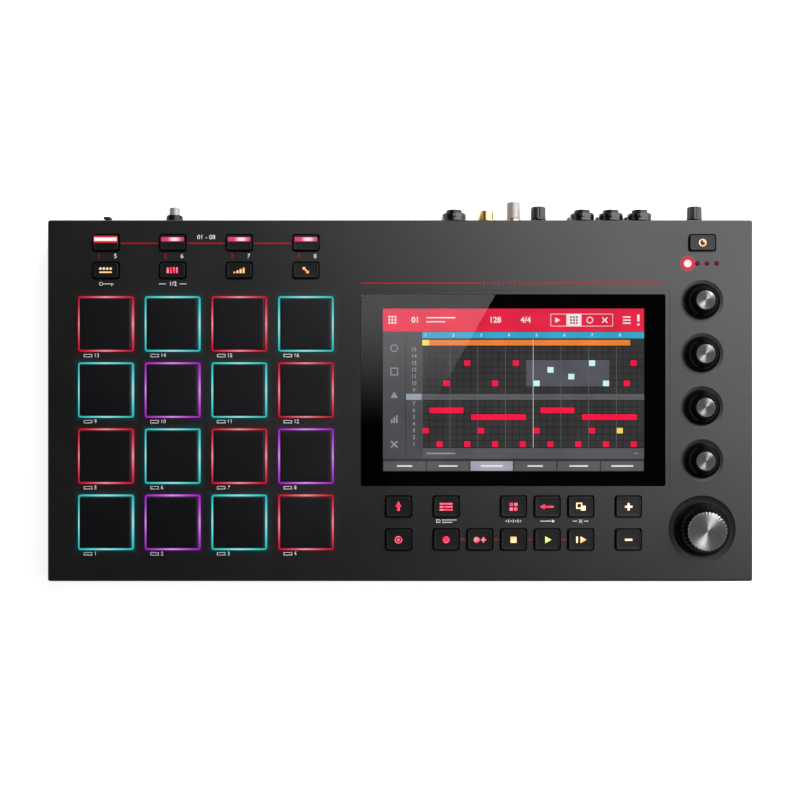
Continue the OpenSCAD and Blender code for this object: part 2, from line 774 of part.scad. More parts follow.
// Phones socket in the front wall
module phones_socket() {
    difference() {
        union() {
            span([phones_x - phones_body_w / 2, front_y + wall, split_z - phones_body_h / 2],
                 [phones_x + phones_body_w / 2, front_y + wall + phones_body_d, split_z + phones_body_h / 2]);
            span([phones_x - phones_bushing_r, front_y, split_z - phones_bushing_r],
                 [phones_x + phones_bushing_r, front_y + wall + eps, split_z + phones_bushing_r]);
        }
        rod(phones_x, split_z, front_y - eps, front_y + phones_depth, phones_bore_r);
    }
}

// All analogue sockets and level controls
module audio_sockets() color("#17171a") {
    for (x = jack_x, z = jack_z) jack(x, z);
    phono_pair();
    for (x = [record_x, master_x]) level_control(x);
    ground_post();
    phones_socket();
}

// Block standing on the main board, its face flush with the rear of the case
module socket_block(x, w, h, d) {
    span([x - w / 2, rear_y - d, main_top], [x + w / 2, rear_y, main_top + h]);
}

// Rectangular well in such a block, its middle at height z
module socket_well(x, z, w, h, depth) {
    span([x - w / 2, rear_y - depth, z - h / 2], [x + w / 2, rear_y + eps, z + h / 2]);
}

// Five-pin, USB, card and power sockets, and the power switch, all on the main board
module data_sockets() color("#1b1b1e") {
    for (x = din_x) difference() {
        socket_block(x, din_w, din_h, din_d);
        rod(x, din_z, rear_y - din_depth, rear_y + eps, din_r);
    }
    difference() {
        socket_block(inlet_x, inlet_w, inlet_h, inlet_d);
        rod(inlet_x, main_top + inlet_h / 2, rear_y - inlet_depth, rear_y + eps, inlet_r);
    }
    difference() {
        socket_block(usb_b_x, usb_b_w, usb_b_h, usb_b_d);
        socket_well(usb_b_x, main_top + usb_b_h / 2, usb_b_hole_w, usb_b_hole_h, usb_depth);
    }
    difference() {
        socket_block(usb_a_x, usb_a_w, usb_a_h, usb_a_d);
        for (z = [usb_a_low, usb_a_low + usb_a_pitch])
            socket_well(usb_a_x, main_top + z, usb_a_hole_w, usb_a_hole_h, usb_depth);
    }
    difference() {
        span([card_x - card_w / 2, rear_y - wall - card_d, main_top],
             [card_x + card_w / 2, rear_y - wall, main_top + card_h]);
        span([card_x - card_slot_w / 2, rear_y - wall - card_depth, main_top + (card_h - card_slot_h) / 2],
             [card_x + card_slot_w / 2, rear_y, main_top + (card_h + card_slot_h) / 2]);
    }
    difference() {
        union() {
            span([power_x - power_body_w / 2, rear_y - wall - power_body_d, main_top],
                 [power_x + power_body_w / 2, rear_y - wall, split_z + power_bushing_r]);
            rod(power_x, split_z, rear_y - wall - eps, rear_y + eps, power_bushing_r);
            rod(power_x, split_z, rear_y, rear_y + power_bezel_t, power_bezel_r - 0.4);
            rod(power_x, split_z, rear_y, rear_y + power_bezel_t - 0.6, power_bezel_r);
        }
        rod(power_x, split_z, rear_y - power_in - power_travel - 1, rear_y + power_bezel_t + eps,
            power_r + run);
    }
}

// Rubber feet, each with the stud that snaps into the pan
module rubber_feet() color("#161617") for (f = FEET) translate([f[0], f[1], 0]) {
    cylinder(h = foot_h, r1 = foot_r - 0.8, r2 = foot_r);
    translate([0, 0, foot_h - eps]) cylinder(h = wall + 0.5, r = foot_stud_r);
}

// Screws that hold the two halves together, driven from below
module case_screws() color("#77787c") for (b = BOSSES) translate([b[0], b[1], foot_h + 0.4]) {
    difference() {
        cylinder(h = screw_head_t, r = screw_head_r);
        for (a = [0, 90]) rotate(a) translate([-1.6, -0.35, -eps]) cube([3.2, 0.7, 0.9]);
    }
    cylinder(h = screw_len, r = screw_r);
}

// Rubber pad: raised face, and the flange that the lattice holds down
module pad(i) color("#1e2024") at_pad(i) {
    translate([0, 0, pad_flange_top - pad_flange_t])
        round_plate(pad_flange_w, pad_flange_w, pad_flange_t, pad_corner_r);
    translate([0, 0, pad_flange_top - eps])
        soft_block(pad_w, pad_w, top_z + pad_rise - pad_flange_top + eps, pad_corner_r, 1);
}

// Key cap with its flange under the top plate and the stem in its switch
module key_body(x, y, w, d) {
    translate([x, y, 0]) {
        translate([0, 0, key_flange_top - eps])
            soft_block(w, d, top_z + key_rise - key_flange_top + eps, key_corner_r, 0.5);
        translate([0, 0, key_flange_top - key_flange_t])
            round_plate(w + 2 * key_gap + 2 * key_flange, d + 2 * key_gap + 2 * key_flange, key_flange_t, 1);
        translate([0, 0, switch_top - 1.3])
            cylinder(h = key_flange_top - key_flange_t - switch_top + 1.3 + eps, r = key_stem_r);
    }
}

// Large key
module large_key(k) color("#262628") key_body(k[1], k[2], key_w, key_d);

// Small key in the lower rear row
module mode_key(i) color("#262628") key_body(pad_x[i], mode_y, key_w, small_key_d);

// Small key in the upper rear row, with the light bar along its far edge
module bank_key(i) color("#262628") {
    bar_y = bank_y + small_key_d / 2 - light_bar_d / 2 - 0.7;
    key_body(pad_x[i], bank_y, key_w, small_key_d);
    translate([pad_x[i], bar_y, top_z + key_rise - 0.5]) round_plate(light_bar_w, light_bar_d, 0.7, 0.5);
}

// Key over the dials
module assign_key() color("#262628") key_body(dial_x, assign_y, assign_w, small_key_d);

// Small dial: skirt, waisted grip and metal cap, on its shaft
module param_knob(i) color("#2a2a2c") translate([dial_x, dial_y[i], 0]) {
    h = top_z + dial_rise - dial_under;
    translate([0, 0, dial_under]) rotate_extrude($fn = 64)
        polygon([[0, 0], [dial_r - 0.5, 0], [dial_r, 0.5], [dial_r, 1.5], [dial_r - 0.6, 2.1],
                 [dial_cap_r + 2.3, 3.2], [dial_cap_r + 1.4, 4.6], [dial_cap_r + 0.8, h - 0.5],
                 [dial_cap_r + 0.4, h - 0.1], [dial_cap_r, h - 0.1], [dial_cap_r - 0.2, h], [0, h]]);
    translate([0, 0, board_z + 0.9]) cylinder(h = dial_under - board_z - 0.9 + eps, r = shaft_r);
}

// Data dial: skirt, fluted grip and metal cap, on the shaft that turns on the plunger's pin
module data_knob() color("#2a2a2c") translate([dial_x, data_y, 0]) difference() {
    h = top_z + data_rise - data_under;
    union() {
        translate([0, 0, data_under]) rotate_extrude($fn = 96)
            polygon([[0, 0], [data_r - 0.5, 0], [data_r, 0.5], [data_r, 1.8], [data_r - 0.8, 2.6],
                     [data_grip_r + 1.2, 3.4], [data_grip_r + 0.6, 4.4], [data_grip_r, h - 0.7],
                     [data_grip_r - 0.5, h - 0.1], [data_cap_r, h - 0.1], [data_cap_r - 0.2, h], [0, h]]);
        translate([0, 0, data_shaft_z]) cylinder(h = data_under - data_shaft_z + eps, r = shaft_r);
    }
    for (i = [0 : data_flutes - 1]) rotate(i * 360 / data_flutes)
        translate([data_grip_r + 0.55, 0, data_under + 4.6]) cylinder(h = h, r = 0.8);
    translate([0, 0, data_shaft_z - eps]) cylinder(h = plunger_pin_h + 0.4, r = plunger_pin_r + run);
}

// Plunger under the data dial: the disc works the push switch, the pin centres the dial's shaft
module data_plunger() color("#c8c8cc") translate([dial_x, data_y, plunger_z]) {
    cylinder(h = plunger_t, r = plunger_r);
    cylinder(h = plunger_t + plunger_pin_h, r = plunger_pin_r);
}

// Level knob behind the case, with fluted side, on its shaft
module level_knob(x) color("#232325") difference() {
    y0 = rear_y + level_bushing_t + 0.5;
    union() {
        rod(x, split_z, y0, rear_y + level_reach - 0.6, level_r);
        rod(x, split_z, y0, rear_y + level_reach, level_r - 0.6);
        rod(x, split_z, rear_y - wall - level_shaft_in + 1, y0 + eps, level_shaft_r);
    }
    for (a = [0 : 30 : 330]) rod(x + (level_r + 0.35) * cos(a), split_z + (level_r + 0.35) * sin(a),
                                 y0 + 1.2, rear_y + level_reach + eps, 0.6);
}

// Power button in its bezel
module power_button() color("#b9bac0") {
    rod(power_x, split_z, rear_y - power_in, rear_y + power_reach - 0.5, power_r);
    rod(power_x, split_z, rear_y - power_in, rear_y + power_reach, power_r - 0.5);
}

// Thumb nut of the ground terminal, closed at its outer end
module ground_nut() color("#c4c4c8") difference() {
    y0 = rear_y + post_base_t + post_nut_gap;
    union() {
        rod(post_x, split_z, y0, rear_y + post_reach - 0.4, post_nut_r);
        rod(post_x, split_z, y0, rear_y + post_reach, post_nut_r - 0.4);
    }
    rod(post_x, split_z, y0 - eps, rear_y + post_reach - post_cap_t, post_r + run);
    for (a = [0 : 22.5 : 337.5])
        rod(post_x + (post_nut_r + 0.25) * cos(a), split_z + (post_nut_r + 0.25) * sin(a),
            y0 + 1, rear_y + post_reach - 2, 0.45);
}

top_housing();
bottom_pan();
display_glass();
display_module();
light_guides();
control_board();
main_board();
battery_pack();
audio_sockets();
data_sockets();
rubber_feet();
case_screws();
for (i = [0 : 15]) pad(i);
for (i = [0 : 3]) bank_key(i);
for (i = [0 : 3]) mode_key(i);
assign_key();
for (k = KEYS) large_key(k);
for (i = [0 : 3]) param_knob(i);
data_knob();
data_plunger();
level_knob(record_x);  // record_level_knob
level_knob(master_x);  // master_level_knob
power_button();
ground_nut();
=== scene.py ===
import json
from math import cos, pi, radians, sin

import bmesh
import bpy
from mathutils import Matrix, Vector


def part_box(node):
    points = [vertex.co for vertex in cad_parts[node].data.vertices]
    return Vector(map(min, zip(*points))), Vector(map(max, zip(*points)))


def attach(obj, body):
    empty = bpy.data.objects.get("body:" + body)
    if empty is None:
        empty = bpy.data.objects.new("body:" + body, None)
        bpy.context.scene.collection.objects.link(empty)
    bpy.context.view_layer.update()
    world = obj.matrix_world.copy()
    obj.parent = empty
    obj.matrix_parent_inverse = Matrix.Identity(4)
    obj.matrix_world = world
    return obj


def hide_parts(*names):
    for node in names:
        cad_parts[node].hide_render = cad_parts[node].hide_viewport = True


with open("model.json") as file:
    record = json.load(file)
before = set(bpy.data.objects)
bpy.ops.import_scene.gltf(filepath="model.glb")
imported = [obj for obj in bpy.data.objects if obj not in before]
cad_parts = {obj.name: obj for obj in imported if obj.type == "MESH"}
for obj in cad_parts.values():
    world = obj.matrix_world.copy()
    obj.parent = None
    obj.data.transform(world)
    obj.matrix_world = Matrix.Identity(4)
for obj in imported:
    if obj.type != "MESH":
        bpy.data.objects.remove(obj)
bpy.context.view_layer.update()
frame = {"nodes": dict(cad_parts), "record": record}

MM = 0.001
KEY_RIM = 2.7            # how much wider a key's flange is than its opening
KEY_GAP = 0.9            # how much narrower a key's cap is than its opening
BAR_IN = 2.85            # from the rear edge of a bank key to the middle of its light bar
PAD_SIZE, PAD_FLANGE = 30, 35
GUIDE_OUT = 16.2         # from the middle of a pad to the outside of its light frame
LAMP_IN = 18.2           # first lamp: from the right end of the light guides, and forward from the assign key
LAMP_FRONT = 12.1

# Places that the frame gives, in metres
housing_low, housing_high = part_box("top_housing")
glass_low, glass_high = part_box("display_glass")
PANEL = housing_high.z
MID_Y = (housing_low.y + housing_high.y) / 2
REAR = housing_high.y
PLACES = {mount["name"]: Vector(mount["pos_m"]) for mount in frame["record"]["mounts"]}
OPENINGS = {gap["name"]: (Vector(gap["box_m"][0]) + Vector(gap["box_m"][1])) / 2
            for gap in frame["record"]["physics"]["openings"]}
PADS = ["pad_%d" % i for i in range(1, 17)]
BANK_KEYS = ["bank_key_%d" % i for i in range(1, 5)]
MODE_KEYS = ["mode_key_%d" % i for i in range(1, 5)]
LARGE_KEYS = ["shift_key", "menu_key", "main_key", "undo_key", "copy_key", "plus_key", "tap_key", "record_key",
              "overdub_key", "stop_key", "play_key", "play_start_key", "minus_key"]
SMALL_DIALS = ["param_knob_%d" % i for i in range(1, 5)]


def middle(node):
    """Middle of a node seen from above, in millimetres"""
    low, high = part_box(node)
    return (low.x + high.x) / 2 / MM, (low.y + high.y) / 2 / MM


def clear():
    bpy.ops.object.select_all(action='DESELECT')


# -------- Shader nodes

def use_tree(owner):
    owner.use_nodes = True
    owner.node_tree.nodes.clear()
    return owner.node_tree


def new_paint(name):
    """New material, and its empty node tree"""
    made = bpy.data.materials.new(name)
    return made, use_tree(made)


def link_node(tree, kind, inputs=None, **settings):
    """New node with its settings, each input given as another node's output, a value or a colour of three parts"""
    made = tree.nodes.new("ShaderNode" + kind)
    for key, value in settings.items():
        setattr(made, key, value)
    for key, value in (inputs or {}).items():
        socket = made.inputs[key]
        if isinstance(value, bpy.types.NodeSocket):
            tree.links.new(value, socket)
        else:
            socket.default_value = (*value, 1) if socket.type == 'RGBA' else value
    return made


def place_of(tree):
    """Place of a point on its piece"""
    return link_node(tree, "TexCoord").outputs["Object"]


def axes_of(tree):
    """That place as three outputs, X, Y and Z"""
    return link_node(tree, "SeparateXYZ", {0: place_of(tree)}).outputs


def calc(tree, operation, a, b=0.0, c=0.0):
    return link_node(tree, "Math", {0: a, 1: b, 2: c}, operation=operation).outputs[0]


def vector(tree, operation, a, b=(0, 0, 0)):
    return link_node(tree, "VectorMath", {0: a, 1: b}, operation=operation).outputs[0]


def spread(tree, value, start, end, low=0.0, high=1.0, smooth=False):
    """Value that runs from low to high while the given one runs from start to end"""
    return link_node(tree, "MapRange", {"Value": value, "From Min": start, "From Max": end, "To Min": low,
                                        "To Max": high},
                     interpolation_type='SMOOTHSTEP' if smooth else 'LINEAR').outputs[0]


def blend(tree, share, near, far):
    """Colour that goes from near to far as the share goes from 0 to 1"""
    return link_node(tree, "Mix", {0: share, 6: near, 7: far}, data_type='RGBA').outputs[2]


def noise(tree, scale, detail, roughness=0.5):
    return link_node(tree, "TexNoise", {"Vector": place_of(tree), "Scale": scale, "Detail": detail,
                                        "Roughness": roughness}).outputs[0]


def put_out(tree, inputs):
    """Surface of a material: one shader with those inputs"""
    shader = link_node(tree, "BsdfPrincipled", inputs)
    link_node(tree, "OutputMaterial", {"Surface": shader.outputs[0]})
    return shader


# -------- Camera, lamps and floor

CAMERA_HEIGHT = 0.7065
CAMERA_LENS = 51.6
SKY_LIGHT = 0.022                        # what the world throws on the object
BROAD = {"shape": 'SQUARE', "size": 0.87}
FAR_LAMP = (0.458, 0.35, 0.817)          # direction of the far lamps, which all pieces see at the same angle


def add_camera():
    """Camera straight over the machine, 675 mm above its top plate"""
    bpy.ops.object.camera_add(location=(-0.0001, MID_Y + 0.0004, CAMERA_HEIGHT), rotation=(0, 0, 0))
    camera = bpy.context.object
    camera.data.sensor_width = 36
    camera.data.lens = CAMERA_LENS
    bpy.context.scene.camera = camera
    bpy.context.scene.view_settings.view_transform = 'Standard'


def add_lamp(name, kind, place, aim, energy, **look):
    """Lamp at a place, facing the point that it is aimed at"""
    bpy.ops.object.light_add(type=kind, location=place)
    lamp = bpy.context.object
    lamp.name = name
    lamp.data.energy = energy
    for key, value in look.items():
        setattr(lamp.data, key, value)
    lamp.rotation_euler = (Vector(aim) - Vector(place)).to_track_quat('-Z', 'Y').to_euler()
    lamp.visible_camera = False
    return lamp


def link_light(source, pieces, state):
    """Let a light source reach only those pieces, or every piece but those"""
    group = source.light_linking.receiver_collection
    if group is None:
        group = bpy.data.collections.new(source.name + "_" + state.lower())
        source.light_linking.receiver_collection = group
    for piece in pieces:
        group.objects.link(piece)
        group.collection_objects[-1].light_linking.link_state = state


def seen_share(tree, dimmed=1.0):
    """1 for camera rays, and for mirrored and refracted rays the share that is left when dimmed"""
    path = link_node(tree, "LightPath").outputs
    mirrored = calc(tree, 'MAXIMUM', path["Is Glossy Ray"], path["Is Transmission Ray"])
    return calc(tree, 'MAXIMUM', path["Is Camera Ray"], calc(tree, 'MULTIPLY', mirrored, dimmed))


def add_world():
    """White walls under a dim ceiling, which light the object only a little"""
    world = bpy.data.worlds.new("studio")
    bpy.context.scene.world = world
    tree = use_tree(world)
    sky = link_node(tree, "SeparateXYZ", {0: link_node(tree, "TexCoord").outputs["Generated"]})
    wall = spread(tree, sky.outputs["Z"], 0.2, 0.5, 1.0, 0.0, smooth=True)
    soft = link_node(tree, "Background", {"Color": (1, 1, 1), "Strength": SKY_LIGHT})
    white = link_node(tree, "Background", {"Color": (1, 1, 1), "Strength": 1.0})
    mixed = link_node(tree, "MixShader", {0: seen_share(tree, wall), 1: soft.outputs[0], 2: white.outputs[0]})
    link_node(tree, "OutputWorld", {"Surface": mixed.outputs[0]})


def add_floor():
    """White floor, a little greyer near the machine"""
    clear()
    bpy.ops.mesh.primitive_plane_add(size=16, location=(0, 0, -0.0002))
    floor = bpy.context.object
    floor.name = "floor"
    paint, tree = new_paint("floor_white")
    away = link_node(tree, "VectorMath", {0: place_of(tree)}, operation='LENGTH').outputs["Value"]
    lift = calc(tree, 'MULTIPLY', seen_share(tree), spread(tree, away, 0.4, 1.2, 0.87, 1.0))
    put_out(tree, {"Base Color": (0.8, 0.8, 0.8), "Roughness": 0.9, "Specular IOR Level": 0.0,
                   "Emission Color": (1, 1, 1), "Emission Strength": lift})
    floor.data.materials.append(paint)


def add_card():
    """Pale card high up, which only the display's glass mirrors"""
    clear()
    corners = [(-0.6, -0.72), (-0.344, -0.72), (0.409, 0.6), (-0.6, 0.6)]
    card_height, brightest = 1.4, 1.92
    bpy.ops.mesh.primitive_circle_add(vertices=len(corners), radius=1, fill_type='NGON')
    card = bpy.context.object
    card.name = "pale_card"
    for vertex, (x, y) in zip(card.data.vertices, corners):
        vertex.co = (x, y, card_height)
    paint, tree = new_paint("pale_card")
    fade = spread(tree, axes_of(tree)["Y"], -0.06, 0.2, 0.0, brightest, smooth=True)
    light = link_node(tree, "Emission", {"Color": (1, 1, 1), "Strength": fade})
    link_node(tree, "OutputMaterial", {"Surface": light.outputs[0]})
    card.data.materials.append(paint)
    card.visible_camera = card.visible_diffuse = card.visible_transmission = card.visible_shadow = False
    link_light(card, [frame["nodes"]["display_glass"]], 'INCLUDE')


add_camera()
window = add_lamp("window", 'AREA', (0.424, 0.282, 0.463), (0.1, 0.0, 0.02), 10.0, **BROAD)
link_light(window, [frame["nodes"]["display_glass"]], 'EXCLUDE')
add_world()
add_floor()
add_card()


# -------- Finishes

# Colours of the pads' frames, front row first, from the left
LIGHT = {"red": (0.78, 0.012, 0.055), "cyan": (0.03, 0.72, 0.72), "magenta": (0.5, 0.035, 0.75)}
PAD_SHADES = ["cyan", "magenta", "cyan", "red", "red", "cyan", "red", "magenta",
              "cyan", "magenta", "cyan", "red", "red", "cyan", "red", "cyan"]


def build_moulded_group():
    """Shader group for moulded surfaces: fine grain, and broad changes of sheen and tone"""
    group = bpy.data.node_groups.new("moulded_surface", "ShaderNodeTree")
    for name, kind, value in (("Colour", "Color", (0.02, 0.02, 0.02, 1)), ("Grain scale", "Float", 1500),
                              ("Low roughness", "Float", 0.35), ("High roughness", "Float", 0.5),
                              ("Colour change", "Float", 0.15)):
        group.interface.new_socket(name, in_out='INPUT', socket_type="NodeSocket" + kind).default_value = value
    for name, kind in (("Colour", "Color"), ("Roughness", "Float"), ("Height", "Float")):
        group.interface.new_socket(name, in_out='OUTPUT', socket_type="NodeSocket" + kind)
    given = group.nodes.new("NodeGroupInput").outputs
    taken = group.nodes.new("NodeGroupOutput").inputs
    fine = noise(group, given["Grain scale"], 2.0, 0.6)
    mixed = calc(group, 'ADD', fine, noise(group, 22.0, 3.0))
    rough = spread(group, mixed, 0.7, 1.3, given["Low roughness"], given["High roughness"])
    swing = calc(group, 'MULTIPLY', calc(group, 'SUBTRACT', mixed, 1.0), given["Colour change"])
    tint = vector(group, 'MULTIPLY', given["Colour"], calc(group, 'ADD', swing, 1.0))
    for name, value in (("Colour", tint), ("Roughness", rough), ("Height", fine)):
        group.links.new(value, taken[name])
    return group


MOULDED = build_moulded_group()


def moulded(name, colour, grain=1500, rough=(0.36, 0.48), change=0.4, bump=0.25, depth=0.05, gloss=0.5, metal=0.0,
            spill=None):
    """Moulded, painted or rubber finish. A spill function adds painted light, emission that stands in for lamps'
    light falling on it, and a mask of where that painted light hides its gloss."""
    made, tree = new_paint(name)
    surface = link_node(tree, "Group", {"Colour": colour, "Grain scale": grain, "Low roughness": rough[0],
                                        "High roughness": rough[1], "Colour change": change},
                        node_tree=MOULDED).outputs
    raised = link_node(tree, "Bump", {"Height": surface["Height"], "Strength": bump, "Distance": depth * MM})
    shader = put_out(tree, {"Base Color": surface["Colour"], "Roughness": surface["Roughness"],
                            "Normal": raised.outputs[0], "Specular IOR Level": gloss, "Metallic": metal})
    if spill:
        # Painted light: emission that stands in for light thrown on the surface
        painted_light, dulled = spill(tree)
        tree.links.new(calc(tree, 'MAXIMUM', surface["Roughness"], dulled), shader.inputs["Roughness"])
        tree.links.new(painted_light, shader.inputs["Emission Color"])
        shader.inputs["Emission Strength"].default_value = 1.0
    return made


def lit(name, colour, hot, strength, grain=260):
    """Lamp-lit print: its colour runs unevenly to a hotter one, as ink over a lamp does"""
    made, tree = new_paint(name)
    tone = blend(tree, spread(tree, noise(tree, grain, 1.0), 0.38, 0.62), colour, hot)
    put_out(tree, {"Base Color": [part * 0.3 for part in colour], "Roughness": 0.4, "Emission Color": tone,
                   "Emission Strength": strength})
    return made


def spun_metal(node):
    """Turned aluminium: fine rings round the dial's own middle and a radial sheen"""
    made, tree = new_paint(node + "_spun")
    x, y = middle(node)
    centred = link_node(tree, "Mapping", {"Vector": place_of(tree), "Location": (-x * MM, -y * MM, 0)}).outputs[0]
    ring = link_node(tree, "TexWave", {"Vector": centred, "Scale": 900.0, "Distortion": 0.6, "Detail": 2.0},
                     wave_type='RINGS', rings_direction='Z').outputs["Fac"]
    raised = link_node(tree, "Bump", {"Height": ring, "Strength": 0.12, "Distance": 0.02 * MM})
    outward = vector(tree, 'NORMALIZE', vector(tree, 'MULTIPLY', centred, (1, 1, 0)))
    put_out(tree, {"Base Color": (0.5, 0.5, 0.51), "Metallic": 1.0, "Roughness": spread(tree, ring, 0, 1, 0.26, 0.38),
                   "Anisotropic": 0.9, "Tangent": outward, "Normal": raised.outputs[0]})
    return made


def pad_cell(tree, axes):
    """Nodes that find the pad nearest to a point: its colour, and how far the point is from its middle on each
    axis, in millimetres"""
    index, aside = [], []
    for axis, first, last in zip("XY", middle("pad_1"), middle("pad_16")):
        pitch = (last - first) / 3
        cell = calc(tree, 'ADD', calc(tree, 'MULTIPLY', axes[axis], 1 / (pitch * MM)), 0.5 - first / pitch)
        step = calc(tree, 'MINIMUM', calc(tree, 'MAXIMUM', calc(tree, 'FLOOR', cell), 0.0), 3.0)
        index.append(step)
        off = calc(tree, 'SUBTRACT', calc(tree, 'SUBTRACT', cell, step), 0.5)
        aside.append(calc(tree, 'ABSOLUTE', calc(tree, 'MULTIPLY', off, pitch)))
    column, row = index
    number = calc(tree, 'ADD', calc(tree, 'ADD', calc(tree, 'MULTIPLY', row, 4.0), column), 0.5)
    shades = link_node(tree, "ValToRGB", {0: calc(tree, 'MULTIPLY', number, 1 / 16)})
    shades.color_ramp.interpolation = 'CONSTANT'
    stops = shades.color_ramp.elements
    for i, shade in enumerate(PAD_SHADES):
        stop = stops[i] if i < 2 else stops.new(i / 16)
        stop.position = i / 16
        stop.color = (*LIGHT[shade], 1)
    return shades.outputs[0], aside


def painted_light_spill(tree):
    """Painted light on the top plate, as emission: the glow of the pads' frames and the pool of the first lamp,
    and a mask of that painted pool
    """
    axes = axes_of(tree)
    colour, aside = pad_cell(tree, axes)
    # Painted glow round each pad's frame, fading away from it
    out = calc(tree, 'SUBTRACT', calc(tree, 'MAXIMUM', *aside), GUIDE_OUT)
    painted_glow = calc(tree, 'POWER', 2.718, calc(tree, 'MULTIPLY', calc(tree, 'MAXIMUM', out, 0.0), -0.75))
    frames = vector(tree, 'MULTIPLY', colour, calc(tree, 'MULTIPLY', painted_glow, 0.04))
    dx = calc(tree, 'SUBTRACT', axes["X"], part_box("light_guides")[1].x - LAMP_IN * MM)
    dy = calc(tree, 'SUBTRACT', axes["Y"], (middle("assign_key")[1] - LAMP_FRONT) * MM)
    far = calc(tree, 'SQRT', calc(tree, 'ADD', calc(tree, 'MULTIPLY', dx, dx), calc(tree, 'MULTIPLY', dy, dy)))
    # Painted pool of the first lamp's light: white, turning red towards its rim
    pool = spread(tree, far, 3.3 * MM, 4.9 * MM, 1.0, 0.0, smooth=True)
    red_ring = spread(tree, far, 1.8 * MM, 2.6 * MM, smooth=True)
    hue = blend(tree, red_ring, (1, 0.9, 0.92), (0.72, 0.0, 0.03))
    both = vector(tree, 'ADD', frames, vector(tree, 'MULTIPLY', hue, pool))
    above = calc(tree, 'GREATER_THAN', axes["Z"], PANEL - 0.05 * MM)
    return vector(tree, 'MULTIPLY', both, above), pool


def lamp_strength(tree, seen, thrown):
    """Strength of a lit piece: one value for the camera, another for the light that it throws"""
    return spread(tree, link_node(tree, "LightPath").outputs["Is Camera Ray"], 0, 1, thrown, seen)


def frame_light():
    """Light guides: each pad's frame in its own colour, paler at the middle of its sides, and four lamps"""
    made, tree = new_paint("light_guide_lit")
    axes = axes_of(tree)
    colour, aside = pad_cell(tree, axes)
    along = calc(tree, 'MULTIPLY', calc(tree, 'MINIMUM', *aside), 1 / 16)
    fade = calc(tree, 'SUBTRACT', 1.0, calc(tree, 'MULTIPLY', calc(tree, 'POWER', along, 2.0), 0.4))
    above = calc(tree, 'GREATER_THAN', axes["Z"], PANEL - 0.6 * MM)
    paler = calc(tree, 'MULTIPLY', calc(tree, 'POWER', calc(tree, 'SUBTRACT', 1.0, along), 2.0), 0.34)
    frames = vector(tree, 'MULTIPLY', blend(tree, paler, colour, (1, 0.82, 0.85)),
                    calc(tree, 'MULTIPLY', fade, above))
    past_first = LAMP_IN - 3.2
    first_lamp = calc(tree, 'LESS_THAN', axes["X"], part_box("light_guides")[1].x - past_first * MM)
    lamps = blend(tree, first_lamp, (0.13, 0.0, 0.006), (1.6, 1.5, 1.5))
    right_of_pads = calc(tree, 'GREATER_THAN', axes["X"], 0.1)
    put_out(tree, {"Base Color": (0.02, 0.005, 0.008), "Roughness": 0.5, "Specular IOR Level": 0.08,
                   "Emission Color": blend(tree, right_of_pads, frames, lamps),
                   "Emission Strength": lamp_strength(tree, 0.95, 1.2)})
    return made


def bar_light():
    """Light bars of the bank keys: the first white with a red rim, the others pink with a white core"""
    made, tree = new_paint("bank_bar_lit")

    def edge(value, line, start, end):
        """0 near a line and 1 far from it"""
        off_line = calc(tree, 'ABSOLUTE', calc(tree, 'SUBTRACT', value, line))
        return spread(tree, off_line, start * MM, end * MM, smooth=True)

    axes = axes_of(tree)
    first_x, last_x = middle("bank_key_1")[0] * MM, middle("bank_key_4")[0] * MM
    pitch = (last_x - first_x) / 3
    shift = calc(tree, 'SUBTRACT', axes["X"], first_x)
    local = calc(tree, 'WRAP', shift, pitch / 2, -pitch / 2)
    rim = edge(axes["Y"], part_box("bank_key_1")[1].y - (KEY_RIM / 2 + BAR_IN) * MM, 0.75, 1.3)
    pink = blend(tree, edge(local, 1.3 * MM, 0.5, 4.4), (1.0, 0.72, 0.82), (0.72, 0.035, 0.16))
    pink = blend(tree, rim, pink, (0.5, 0.02, 0.09))
    outline = calc(tree, 'MAXIMUM', rim, edge(local, 0.0, 6.2, 6.9))
    white = blend(tree, outline, (1.0, 0.93, 0.93), (0.62, 0.008, 0.02))
    first_bar = calc(tree, 'LESS_THAN', shift, pitch / 2)
    put_out(tree, {"Base Color": (0.02, 0.01, 0.01), "Roughness": 0.35,
                   "Emission Color": blend(tree, first_bar, pink, white),
                   "Emission Strength": lamp_strength(tree, 1.0, 6.0)})
    return made


def socket_finish(name, zones):
    """Sockets of one node: black plastic, with metal where a zone (x from, x to, y from, colour) says so"""
    made = moulded(name, (0.006, 0.006, 0.007), rough=(0.24, 0.36), bump=0.15, depth=0.03, gloss=0.3)
    tree = made.node_tree
    shader = next(node for node in tree.nodes if node.type == 'BSDF_PRINCIPLED')
    axes = axes_of(tree)
    colour, metal = shader.inputs["Base Color"].links[0].from_socket, 0.0
    for x0, x1, y0, tint in zones:
        inside = calc(tree, 'COMPARE', axes["X"], (x0 + x1) / 2 * MM, (x1 - x0) / 2 * MM)
        mask = calc(tree, 'MULTIPLY', inside, calc(tree, 'GREATER_THAN', axes["Y"], y0 * MM))
        colour = blend(tree, mask, colour, tint)
        metal = calc(tree, 'MAXIMUM', metal, mask)
    tree.links.new(colour, shader.inputs["Base Color"])
    tree.links.new(metal, shader.inputs["Metallic"])
    return made


def cover_glass():
    """Clear cover glass, with a faint tint that changes across it"""
    made, tree = new_paint("cover_glass")
    tint = blend(tree, noise(tree, 18.0, 2.0), (0.93, 0.95, 0.96), (0.98, 0.98, 0.97))
    put_out(tree, {"Base Color": tint, "Roughness": 0.0, "Transmission Weight": 1.0, "IOR": 1.5})
    return made
